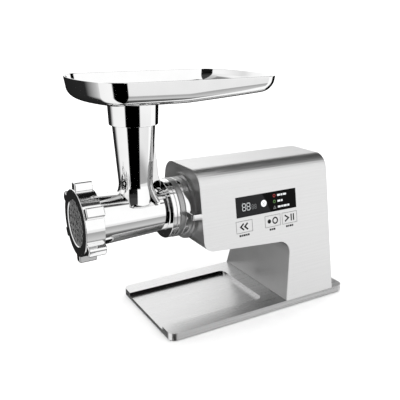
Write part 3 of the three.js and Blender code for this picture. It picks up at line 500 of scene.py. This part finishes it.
def circle(x, y, radius, count):
    """A round loop of points."""
    return [(x + radius * math.cos(2 * math.pi * k / count),
             y + radius * math.sin(2 * math.pi * k / count)) for k in range(count)]


def rectangle(x0, x1, y0, y1, radius=0.0):
    """A loop of four corners, rounded if it has a radius."""
    corners = [(x0, y0, radius), (x1, y0, radius), (x1, y1, radius), (x0, y1, radius)]
    return [tuple(p) for p in round_corners(corners)]


def carve(piece, *cutters):
    """Cuts the shapes out of a piece and keeps the result as its mesh."""
    for cutter in cutters:
        modifier = piece.modifiers.new("carve", "BOOLEAN")
        modifier.operation = "DIFFERENCE"
        modifier.solver = "EXACT"
        modifier.object = cutter
    bpy.context.view_layer.update()
    mesh = bpy.data.meshes.new_from_object(piece.evaluated_get(bpy.context.evaluated_depsgraph_get()))
    bpy.data.objects.remove(piece)
    for cutter in cutters:
        bpy.data.objects.remove(cutter)
    return mesh


def loose(name, mesh):
    """An object for a boolean cut, which removes it."""
    made = bpy.data.objects.new(name, mesh)
    bpy.context.scene.collection.objects.link(made)
    return made


def joined(name, *meshes):
    """Several meshes as one."""
    made = bmesh.new()
    for mesh in meshes:
        made.from_mesh(mesh)
    mesh = bpy.data.meshes.new(name)
    made.to_mesh(mesh)
    made.free()
    return mesh


# ---- Grinding head --------------------------------------------------------------------------
# A plate drawn in (x, y) stands across the auger's axis: its x runs along Y and its y up.
ACROSS = Matrix(((0, 0, 1, 0), (1, 0, 0, 0), (0, 1, 0, 0), (0, 0, 0, 1)))


def barrel_radius(x):
    """Outer radius of the barrel, which tapers from the ring nut to the flange."""
    b = BARREL
    t = (x - b["mouth_rear"]) / (FLANGE["front"] - b["mouth_rear"])
    return b["front_radius"] + (b["rear_radius"] - b["front_radius"]) * min(max(t, 0), 1)


def neck_radius(z):
    """Outer radius of the throat at a height, with the sweep where it runs into the barrel."""
    n = NECK
    slope = (n["waist_radius"] - n["low_radius"]) / (n["waist"] - n["low"])
    radius = n["low_radius"] + (z - n["low"]) * slope
    if z > n["waist"]:
        t = min((z - n["waist"]) / (n["top"] - 6 - n["waist"]), 1)
        radius = n["waist_radius"] + (n["top_radius"] - n["waist_radius"]) * t
    if z < n["flare_top"]:
        radius += n["flare"] * ((n["flare_top"] - z) / n["flare_height"]) ** 2.4
    return radius


def foot_height(angle):
    """Height at which the throat's wall meets the barrel, found by closing in on it step by step."""
    z = NECK["foot"]
    sunk = 0.4
    for _ in range(30):
        r = neck_radius(z)
        x, y = THROAT_X + r * math.cos(angle), r * math.sin(angle)
        surface = AXIS_Z + math.sqrt(max(barrel_radius(x) ** 2 - y * y, 0)) - sunk
        z += (max(surface, NECK["lowest_foot"]) - z) * 0.6
    return z


def neck_walls(segments=144, rows=64):
    """The throat's outer wall from the barrel's surface up, its rim, and its bore back down."""
    n = NECK
    rim = 0.8
    angles = [2 * math.pi * k / segments for k in range(segments)]
    feet = [foot_height(a) for a in angles]
    vertices = []
    for i in range(rows):
        t = (i / (rows - 1)) ** 1.7
        for a, foot in zip(angles, feet):
            z = foot + (n["top"] - rim - foot) * t
            vertices.append(throat_point(neck_radius(z), a, z))
    vertices += [throat_point(neck_radius(n["top"]) - rim, a, n["top"]) for a in angles]
    bore_slope = (n["bore_top"] - n["bore_low"]) / (n["top"] - n["low"])
    for z in (n["top"], n["low"], n["hidden_foot"]):
        bore = n["bore_low"] + max(z - n["low"], 0) * bore_slope
        vertices += [throat_point(bore, a, z) for a in angles]
    return vertices, wall_faces(rows + 4, segments, False)


def rib():
    """The gusset behind the throat, a plate with rounded edges."""
    outline = [(8, 203, 0), (30.4, 203, 0), (30.4, 213, 2), (26.6, 228, 6), (25.8, 248, 2),
               (24.6, 251.5, 2), (21.4, 284, 5), (12, 288, 0)]
    mesh = flat_shape([[tuple(p) for p in round_corners(outline)]], 4.8, 0.9)
    mesh.transform(Matrix(((1, 0, 0, FRONT), (0, 0, -1, 0), (0, 1, 0, 0), (0, 0, 0, 1))))
    return mesh


def head_casting():
    """The barrel, turned and cut open under the throat, with the throat and its rib."""
    b, f, s = BARREL, FLANGE, SHANK
    profile = [(b["front"], b["mouth"], 0.8), (b["mouth_rear"] - 2, b["mouth"], 0.8),
               (b["mouth_rear"], b["front_radius"], 1.2), (f["front"], b["rear_radius"], 1.5),
               (f["front"], f["radius"], 1.1), (f["groove"] - 0.5, f["radius"], 0.3),
               (f["groove"], f["groove_radius"], 0.2), (f["groove"] + 0.8, f["groove_radius"], 0.2),
               (f["groove"] + 1.3, f["radius"], 0.3), (f["rear"], f["radius"], 0.8),
               (f["rear"], s["radius"], 0.5), (s["rear"], s["radius"], 0.8),
               (s["rear"], s["bore"], 0.5), (b["wall_rear"], s["bore"], 0.8),
               (b["wall_rear"], b["shaft_hole"], 0.4), (b["bore_rear"], b["shaft_hole"], 0.4),
               (b["bore_rear"], b["bore"], 0.8), (b["seat_rear"], b["bore"], 0.5),
               (b["seat_rear"], b["seat"], 0.4), (b["front"], b["seat"], 0.6)]
    turned_mesh = mesh_from("barrel", *lathe_x(profile, 160))
    bore, start, end = NECK["bore_low"], AXIS_Z + 5, NECK["flare_top"] + 8
    cutter = [(start, 0), (start, bore), (end, bore + 0.8), (end, 0)]
    throat = mesh_from("throat", *lathe_z(cutter, 96, closed=False))
    barrel = carve(loose("barrel", turned_mesh), loose("throat", throat))
    neck = mesh_from("neck", *neck_walls())
    mesh = joined("head_casting_fine", barrel, neck, rib())
    return finish_piece("head_body", mesh, CHROME, "head",
                        ["head_casting", "head_throat"], angle=32)


def size_marks():
    """Two short engraved dashes beside the flange."""
    made = []
    for x0, x1, turn in [(8.5, 13.5, 31), (17, 25, 33)]:
        vertices, faces = [], []
        for i in range(9):
            x = x0 + (x1 - x0) * i / 8
            for j in range(3):
                a = math.radians(turn + 1.6 * (j - 1))
                r = barrel_radius(x) + 0.05
                vertices.append(place(x, -r * math.cos(a), AXIS_Z + r * math.sin(a)))
        faces += [(i * 3 + j, i * 3 + j + 1, i * 3 + j + 4, i * 3 + j + 3)
                  for i in range(8) for j in range(2)]
        made.append((vertices, faces))
    mesh = mesh_from("size_marks", *together(*made))
    return finish_piece("size_marks", mesh, GREY_INK, "head")


def ring_nut():
    """A turned ring with square lugs that lean in a little."""
    r = RING
    lip_rear = PLATE["front"] - 0.4
    profile = [(r["front"], r["lip"] + 1, 0.3), (r["front"], r["radius"], r["edge"]),
               (r["rear"], r["radius"], 0.9), (r["rear"], r["thread"], 0.5),
               (lip_rear, r["thread"], 0.2), (lip_rear, r["lip"], 0.3),
               (r["front"] + 1, r["lip"], 0.3)]
    ring = mesh_from("ring", *lathe_x(profile, 180))
    lugs = []
    half = r["lug_width"] / 2
    lug_rear = r["rear"] - 0.6
    middle = (lug_rear + r["lug_front"]) / 2
    for i in range(r["lugs"]):
        outline = [(-half - 2.6, r["radius"] - 6, 0), (half + 2.6, r["radius"] - 6, 0),
                   (half + 0.6, r["radius"] + 0.2, 1.5), (half, r["lug_radius"], 3.4),
                   (-half, r["lug_radius"], 3.4), (-half - 0.6, r["radius"] + 0.2, 1.5)]
        mesh = flat_shape([[tuple(p) for p in round_corners(outline, steps=6)]],
                          lug_rear - r["lug_front"], 1.5)
        turn = Matrix.Rotation(2 * math.pi * i / r["lugs"], 4, "X")
        mesh.transform(Matrix.Translation(place(middle, 0, AXIS_Z)) @ turn @ ACROSS)
        lugs.append(mesh)
    mesh = joined("ring_nut_fine", ring, *lugs)
    return finish_piece("nut_body", mesh, CHROME, "nut", ["ring_nut"], angle=32)


def cutting_plate():
    """A disc with circles of holes round the pin."""
    p = PLATE
    loops = [circle(0, 0, p["radius"], 144), circle(0, 0, p["pin"], 32)]
    for radius, count in p["circles"]:
        for i in range(count):
            angle = 2 * math.pi * (i + 0.25) / count
            loops.append(circle(radius * math.cos(angle), radius * math.sin(angle), p["hole"], 20))
    mesh = flat_shape(loops, p["rear"] - p["front"], 0.35)
    mesh.transform(Matrix.Translation(place((p["front"] + p["rear"]) / 2, 0, AXIS_Z)) @ ACROSS)
    return finish_piece("plate_disc", mesh, DARK_PLATE, "plate", ["cutting_plate"])


# ---- Socket and lock ring -------------------------------------------------------------------
def head_socket():
    """The collar, tube and flange that take the head's shank."""
    s = SOCKET
    floor_front = SHANK["rear"] + 0.6
    profile = [(s["front"], s["bore"], 0.4), (s["front"], s["collar"], 1.2),
               (s["collar_rear"], s["collar"], 0.8), (s["collar_rear"], s["tube"], 0.4),
               (s["cap"] + 0.1, s["tube"], 0.4), (s["cap"] + 0.1, s["flange"], 0.4),
               (s["rear"], s["flange"], 0.4), (s["rear"], s["shaft_hole"], 0.4),
               (floor_front, s["shaft_hole"], 0.4), (floor_front, s["bore"], 0.4)]
    mesh = mesh_from("socket", *lathe_x(profile, 160))
    return finish_piece("socket_body", mesh, SOCKET_STEEL, "housing", ["head_socket"])


def lock_ring():
    """A ring with a flat lever, bent back past the housing."""
    lock = LOCK
    profile = [(lock["front"], lock["bore"], 0.3), (lock["front"], lock["radius"], 1.0),
               (lock["rear"], lock["radius"], 1.0), (lock["rear"], lock["bore"], 0.3)]
    ring = mesh_from("lock", *lathe_x(profile, 160))
    start, root = lock["front"] + 0.4, lock["radius"] - 2
    outline = [(start, -root, 0), (start, -lock["lever_front"], 1.6),
               (lock["grip_rear"], -lock["lever_rear"], 2.4),
               (lock["grip_rear"], -lock["grip_start"], 1.2),
               (lock["rear"], -lock["grip_start"], 0.8), (lock["rear"], -root, 0)]
    mesh = flat_shape([[tuple(p) for p in round_corners(outline)]], lock["thickness"], 1.1)
    mesh.transform(Matrix.Translation(place(0, 0, lock["height"])))
    both = joined("lock_ring_fine", ring, mesh)
    return finish_piece("lock_lever", both, CHROME, "lock", ["lock_ring"])


# ---- Feed tray ------------------------------------------------------------------------------
def tray_outline(inset, per_corner=14, per_side=30):
    """The rim's line moved inward: a rounded rectangle whose ends and sides bow outward."""
    t = TRAY
    hx, hy, r = t["half_length"] - inset, t["half_width"] - inset, t["corner"] - inset
    corners = [(hx, hy), (-hx, hy), (-hx, -hy), (hx, -hy)]
    points = []
    for quarter, (x, y) in enumerate(corners):
        cx, cy = x - math.copysign(r, x), y - math.copysign(r, y)
        arc = [(cx + r * math.cos(math.pi / 2 * (quarter + k / per_corner)),
                cy + r * math.sin(math.pi / 2 * (quarter + k / per_corner)))
               for k in range(per_corner + 1)]
        nx, ny = corners[(quarter + 1) % 4]
        if quarter % 2 == 0:
            end = Vector((nx - math.copysign(r, nx), ny))
        else:
            end = Vector((nx, ny - math.copysign(r, ny)))
        side = [tuple(Vector(arc[-1]).lerp(end, k / per_side)) for k in range(1, per_side)]
        points += arc + side
    end_bow = lambda x, y: math.copysign(t["end_bow"], x) * (1 - (y / hy) ** 2) * abs(x / hx) ** 4
    side_bow = lambda x, y: math.copysign(t["side_bow"], y) * (1 - (x / hx) ** 2) * abs(y / hy) ** 4
    return [(t["centre"] + x + end_bow(x, y), y + side_bow(x, y)) for x, y in points]


def climb(x):
    """How far the tray's floor has risen towards the rear."""
    return TRAY["slope"] * max(x - TRAY["slope_start"], 0)


def leaning(x, y, z):
    """Walls lean out towards the rim: what is below it moves in towards the tray's middle."""
    t = TRAY
    scale = 1 - t["draft"] * (t["rim"] - max(z, t["floor"] + t["edge"]))
    return t["centre"] + (x - t["centre"]) * scale, y * scale, z


def tray_surface(inset, edge, steps=10):
    """Loops of one face of the pan, from the rim down round the edge to the floor."""
    bottom = TRAY["floor"] + inset
    wall_top = TRAY["rim"] - TRAY["lip"]
    highest = wall_top - 0.15
    loops = [[leaning(x, y, wall_top) for x, y in tray_outline(inset)]]
    for k in range(steps + 1):
        a = math.pi / 2 * k / steps
        narrower = tray_outline(inset + edge * (1 - math.cos(a)))
        drop = edge * (1 - math.sin(a))
        loops.append([leaning(x, y, min(bottom + climb(x) + drop, highest)) for x, y in narrower])
    return loops


def tray_floor(start, inset, hole, rings=10):
    """Loops of the floor, from the edge in to the round hole."""
    loops = []
    for k in range(1, rings + 1):
        t = k / rings
        loop = []
        for x, y, _ in start:
            away = Vector((x - THROAT_X, y)).normalized() * hole
            px, py = x + (THROAT_X + away.x - x) * t, y + (away.y - y) * t
            loop.append((px, py, TRAY["floor"] + inset + climb(px)))
        loops.append(loop)
    return loops


def hopper_tray():
    """The pan, as one closed shell, and its collar."""
    t, c = TRAY, COLLAR
    outside = tray_surface(0, t["edge"])
    inside = tray_surface(t["wall"], t["edge"] - t["wall"])
    lip = []
    for k in range(1, 4):
        a = math.pi * k / 4
        lip.append([(x, y, t["rim"] + t["lip"] * (math.sin(a) - 1))
                    for x, y in tray_outline(t["wall"] / 2 * (1 - math.cos(a)))])
    under = tray_floor(outside[-1], 0, c["hole"])
    over = tray_floor(inside[-1], t["wall"], c["hole"])
    loops = under[::-1] + outside[::-1] + lip + inside + over
    count = len(loops[0])
    vertices = [place(*p) for loop in loops for p in loop]
    pan = mesh_from("pan", vertices, wall_faces(len(loops), count, True))
    profile = [(c["bottom"], c["bore"], 0.4), (c["bottom"], c["bottom_radius"] + 0.1, 0.6),
               (c["bottom"] + 1.6, c["bottom_radius"] + 0.1, 0.4),
               (t["floor"] - 1.2, c["top_radius"], 0.8),
               (t["floor"] + 0.3, c["top_radius"] + 1.4, 0.2), (t["floor"] + 0.3, c["bore"], 0.2)]
    collar = mesh_from("collar", *lathe_z(profile, 144))
    mesh = joined("hopper_tray_fine", pan, collar)
    return finish_piece("tray_pan", mesh, CHROME, "tray",
                        ["hopper_tray", "tray_collar"], angle=40)


# ---- Side panel graphics --------------------------------------------------------------------
SLOPE = (SIDE["half_bottom"] - SIDE["half_top"]) / (SIDE["top"] - SIDE["bottom"])
TILT = math.atan(SLOPE)


def half_width(z):
    """Half the housing's width, which narrows upward."""
    return SIDE["half_bottom"] - (z - SIDE["bottom"]) * SLOPE


def on_panel(mesh, lift):
    """Stands a flat shape drawn in (x, height) on the near side panel, raised by lift."""
    c, s = math.cos(TILT), math.sin(TILT)
    reference = SIDE["reference"]
    origin = place(0, -half_width(reference), reference) + Vector((0, -c, s)) * lift * MM
    flat = Matrix(((1, 0, 0, 0), (0, 1 / c, 0, -reference * MM / c), (0, 0, 1, 0), (0, 0, 0, 1)))
    stand = Matrix(((1, 0, 0, origin.x), (0, s, -c, origin.y), (0, c, s, origin.z), (0, 0, 0, 1)))
    mesh.transform(stand @ flat)
    return mesh


def panel_mark(name, loops, material, body="housing", lift=0.04, thickness=0.06):
    """A printed mark on the near side panel."""
    mesh = on_panel(flat_shape(loops, thickness), lift)
    return finish_piece(name, mesh, material, body)


def stroke(points, width, closed=False):
    """A closed outline round a line of points, with mitred corners."""
    half = width / 2
    sides = ([], [])
    count = len(points)
    for i, point in enumerate(points):
        here = Vector(point)
        last, following = Vector(points[i - 1]), Vector(points[(i + 1) % count])
        before = (here - last).normalized() if i > 0 or closed else None
        after = (following - here).normalized() if i < count - 1 or closed else None
        before, after = before or after, after or before
        normal = (Vector((-before.y, before.x)) + Vector((-after.y, after.x))).normalized()
        scale = half / max(normal.dot(Vector((-after.y, after.x))), 0.3)
        sides[0].append(tuple(here + normal * scale))
        sides[1].append(tuple(here - normal * scale))
    return [sides[0], sides[1]] if closed else [sides[0] + sides[1][::-1]]


def digit_eight(x, z, width, height, bar):
    """The seven segments of a lit figure 8."""
    middle = z + height / 2
    gap = bar * 0.35
    loops = []
    for level in (z, middle, z + height):
        loops += stroke([(x + gap, level), (x + width - gap, level)], bar)
    for side in (x, x + width):
        for low, high in ((z, middle), (middle, z + height)):
            loops += stroke([(side, low + bar / 2 + gap), (side, high - bar / 2 - gap)], bar)
    return loops


def dashes(x, end, z, height, widths, gap, radius):
    """A row of plain dashes, as long as a word, from x to end at height z."""
    bars = []
    for width in widths:
        if x + width <= end:
            bars.append(rectangle(x, x + width, z - height / 2, z + height / 2, radius))
        x += width + gap
    return bars


def display_graphics():
    """The window's figures, knife mark, lamps and dashes."""
    d = DISPLAY
    big = [loop for x in (135.5, 143.6) for loop in digit_eight(x, 169.4, 5.6, 10.4, 0.85)]
    small = [loop for x in (152.3, 157.4) for loop in digit_eight(x, 169.8, 3.2, 6.4, 0.7)]
    panel_mark("display_digits", big, DIGIT_MARK, lift=d["lift"])
    panel_mark("display_small_digits", small, DIM_MARK, lift=d["lift"])
    x, z = d["knife"]
    blades = [circle(x, z, 5.2, 48)]
    for quarter in range(4):
        a = math.radians(90 * quarter + 45)
        blades.append(circle(x + 2.4 * math.cos(a), z + 2.4 * math.sin(a), 0.7, 16))
    blades.append(circle(x, z, 0.8, 16))
    panel_mark("display_knife_mark", blades, WHITE_MARK, lift=d["lift"])
    x = d["lamps"]
    top, middle, low = d["rows"]
    for name, z, ink in (("reverse", top, RED_MARK), ("run", middle, GREEN_MARK)):
        ring = [circle(x, z, 2.4, 32), circle(x, z, 1.6, 32)]
        panel_mark(f"indicator_{name}", ring, ink, lift=d["lift"])
    triangle = stroke([(x - 2.1, low - 1.8), (x + 2.1, low - 1.8), (x, low + 2)], 0.8, True)
    panel_mark("indicator_ready", triangle, DIM_MARK, lift=d["lift"])
    labels = []
    for z, end in zip(d["rows"], (223, 217.5, 224)):
        labels += dashes(d["labels"], end, z, 3.0, (5.6, 3.2, 6.4, 4.0, 3.6), 1.1, 0.3)
    panel_mark("indicator_labels", labels, DIGIT_MARK, lift=d["lift"])


def button_marks():
    """The buttons' symbols, which move with them, and the dashes under them, which don't."""
    z = BUTTON["height"]
    x = BUTTON["reverse"]
    chevrons = []
    for tip in (x - 6.6, x + 0.6):
        chevrons += stroke([(tip + 5.6, z + 4.8), (tip, z), (tip + 5.6, z - 4.8)], 2.5)
    panel_mark("mark_reverse", chevrons, BLACK_INK, "reverse_button")
    x = BUTTON["power"]
    dot = [circle(x - 6.6, z, 3.3, 32), circle(x + 4.6, z, 5.5, 40), circle(x + 4.6, z, 3.3, 40)]
    panel_mark("mark_power", dot, BLACK_INK, "power_button")
    x = BUTTON["start"]
    start = stroke([(x - 9.4, z + 4.8), (x - 2.2, z), (x - 9.4, z - 4.8)], 2.3)
    for bar in (x + 3.2, x + 7.8):
        start.append(rectangle(bar - 1.15, bar + 1.15, z - 5.4, z + 5.4))
    panel_mark("mark_start", start, BLACK_INK, "start_button")
    for name, half in (("reverse", 10), ("power", 7), ("start", 8)):
        x = BUTTON[name]
        word = dashes(x - half, x + half, 132.7, 3.0, (3.4, 2.2, 3.8, 2.6, 3.0), 0.8, 0.25)
        panel_mark(f"label_{name}", word, BLACK_INK)


def button_frames():
    """A fine engraved square round each button."""
    line = 0.35
    z, w, h = BUTTON["height"], BUTTON["half_width"], BUTTON["half_height"]
    for name in ("reverse", "power", "start"):
        x = BUTTON[name]
        loops = [rectangle(x - w - line, x + w + line, z - h - line, z + h + line, 0.8),
                 rectangle(x - w, x + w, z - h, z + h, 0.6)]
        panel_mark(f"frame_{name}", loops, GREY_INK, lift=0.03, thickness=0.05)


head_casting()
size_marks()
ring_nut()
cutting_plate()
head_socket()
lock_ring()
hopper_tray()
display_graphics()
button_marks()
button_frames()

# ---- Carried-over CAD nodes -----------------------------------------------------------------
finishes = {
    BODY: ["body_shell", "button_reverse", "button_power", "button_start"],
    BASE_STEEL: ["base_plate"],
    SATIN_GREY: ["front_cap", "leg_cover", "rear_cover"],
    TURNED: ["auger", "cutting_knife", "drive_coupling", "output_shaft", "output_gear",
             "output_bearing_front", "output_bearing_rear", "layshaft", "layshaft_pinion",
             "motor_shaft", "motor_bearing_front", "motor_bearing_rear",
             *(f"cover_screw_{n}" for n in range(1, 5))],
    GLASS: ["display_window"],
    BLACK_PLASTIC: ["base_bottom_cover", "cable_gland", "run_capacitor", "carbon_brush_left",
                    "carbon_brush_right"],
    RUBBER: [f"rubber_foot_{n}" for n in range(1, 5)],
    NYLON: ["head_bush", "thrust_washer", "layshaft_gear", "cooling_fan"],
    ALUMINIUM: ["gearbox_housing", "gearbox_cover", "motor_front_bracket", "motor_rear_bracket"],
    LAMINATED: ["armature", "motor_stator"],
    COPPER: ["field_coil_upper", "field_coil_lower", "commutator", "brush_holder_left",
             "brush_holder_right"],
    BOARD: ["display_board", "power_board"],
}
edges = {"base_plate": 1.1, "body_shell": 0.6, "front_cap": 0.8, "leg_cover": 0.5,
         "rear_cover": 0.5}
fine_edges = ["display_window", "cutting_knife", *(f"rubber_foot_{n}" for n in range(1, 5)),
              *(f"button_{name}" for name in ("reverse", "power", "start"))]
edges.update(dict.fromkeys(fine_edges, 0.3))
for material, names in finishes.items():
    for name in names:
        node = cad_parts[name]
        node.data.materials.clear()
        node.data.materials.append(material)
        smooth(node, edges.get(name, 0.0))


# ---- Floor, light and camera ----------------------------------------------------------------
def floor():
    """A plain pale table top that polished steel does not mirror."""
    made = bmesh.new()
    bmesh.ops.create_grid(made, x_segments=8, y_segments=8, size=6.0)
    mesh = bpy.data.meshes.new("floor")
    made.to_mesh(mesh)
    made.free()
    n = Nodes("floor_paper")
    fine = n.noise(n.stretched(), 60, 3)
    n.bump(fine, 0.02, 0.0002)
    tone = n.ramp(fine, [(0.3, grey(0.92)), (0.7, grey(0.94))])
    mesh.materials.append(n.set(colour=tone, roughness=n.spread(fine, 0.8, 0.9), specular=0.0))
    ground = bpy.data.objects.new("floor", mesh)
    bpy.context.scene.collection.objects.link(ground)
    ground.visible_glossy = False


def studio():
    """A white tent with dark openings between its panels, which polished steel mirrors as bands."""
    world = bpy.data.worlds.new("studio")
    bpy.context.scene.world = world
    world.use_nodes = True
    world.cycles.sampling_method = "NONE"
    sky = Tree(world.node_tree)
    sky.tree.nodes.clear()
    x, y, z = sky.split(sky.node("ShaderNodeTexCoord").outputs["Generated"])
    share = sky.math("DIVIDE", sky.math("ARCTAN2", y, x), 2 * math.pi)
    turn = sky.math("FRACT", sky.math("ADD", share, 1.0))
    height = sky.math("ADD", sky.math("MULTIPLY", z, 0.5), 0.5)

    def around(stops):
        """Brightness by azimuth, from (degrees, level) stops."""
        return sky.ramp(turn, [(angle / 360, grey(level)) for angle, level in stops])

    def upward(stops):
        """Brightness by elevation, from (degrees, level) stops."""
        return sky.ramp(height, [(math.sin(math.radians(angle)) / 2 + 0.5, grey(level))
                                 for angle, level in stops])

    def background(colour, strength):
        made = sky.node("ShaderNodeBackground")
        sky.link(colour, made.inputs["Color"])
        sky.link(strength, made.inputs["Strength"])
        return made.outputs[0]

    below = around([(0, 0.95), (6, 0.95), (9, 0.0), (124, 0.02), (136, 0.5), (146, 0.85),
                    (208, 0.9), (212, 0.0), (275, 0.0), (279, 1.0), (350, 0.95), (354, 0.95)])
    level = around([(0, 1.05), (75, 1.15), (120, 0.9), (130, 0.7), (150, 0.9), (200, 0.9),
                    (202, 0.0), (256, 0.01), (258, 1.0), (334, 0.95), (336, 0.0), (354, 0.0),
                    (357, 0.95)])
    raised = around([(0, 0.03), (50, 0.03), (59, 1.1), (125, 0.9), (150, 0.8), (200, 0.8),
                     (202, 0.03), (256, 0.03), (258, 1.0), (334, 0.95), (336, 0.0), (359, 0.0)])
    high = around([(0, 0.03), (50, 0.03), (58, 0.24), (130, 0.24), (150, 0.6), (200, 0.6),
                   (202, 0.05), (256, 0.05), (258, 1.0), (330, 0.95), (332, 0.0), (359, 0.0)])
    crown = around([(0, 0.24), (130, 0.24), (150, 0.5), (200, 0.5), (202, 0.05), (256, 0.05),
                    (258, 1.0), (330, 0.95), (332, 0.0), (356, 0.0), (358, 0.24)])
    tent = below
    for start, end, panels in ((-4, 0, level), (17, 24, raised), (36, 42, high), (53, 57, crown)):
        tent = sky.mix(upward([(start, 0.0), (end, 1.0)]), tent, panels)
    shade = upward([(-90, 0.02), (-56, 0.1), (-50, 0.25), (-46, 0.6), (-24, 0.38), (-21, 0.38),
                    (-19, 0.8), (-14, 0.82), (-9, 1.0), (90, 1.0)])
    front = around([(256, 0.0), (258, 1.0), (334, 1.0), (336, 0.0)])
    tent = sky.mix(front, tent, shade, "MULTIPLY")
    choose = sky.node("ShaderNodeMixShader")
    sky.link(sky.node("ShaderNodeLightPath").outputs["Is Glossy Ray"], choose.inputs[0])
    sky.link(background((1.0, 1.0, 1.0, 1.0), 1.5), choose.inputs[1])
    sky.link(background(tent, 1.15), choose.inputs[2])
    sky.link(choose.outputs[0], sky.node("ShaderNodeOutputWorld").inputs["Surface"])


def camera():
    """The view from the front left, a little above."""
    data = bpy.data.cameras.new("camera")
    data.lens = 48.02
    data.sensor_width = 36
    data.clip_start, data.clip_end = 0.02, 50
    made = bpy.data.objects.new("camera", data)
    bpy.context.scene.collection.objects.link(made)
    made.location = (-0.41045, -0.6883, 0.4224)
    made.rotation_euler = (math.radians(90 - 17.3), 0, math.radians(-29.8))
    bpy.context.scene.camera = made


floor()
studio()
camera()
bpy.context.scene.view_settings.view_transform = "Standard"
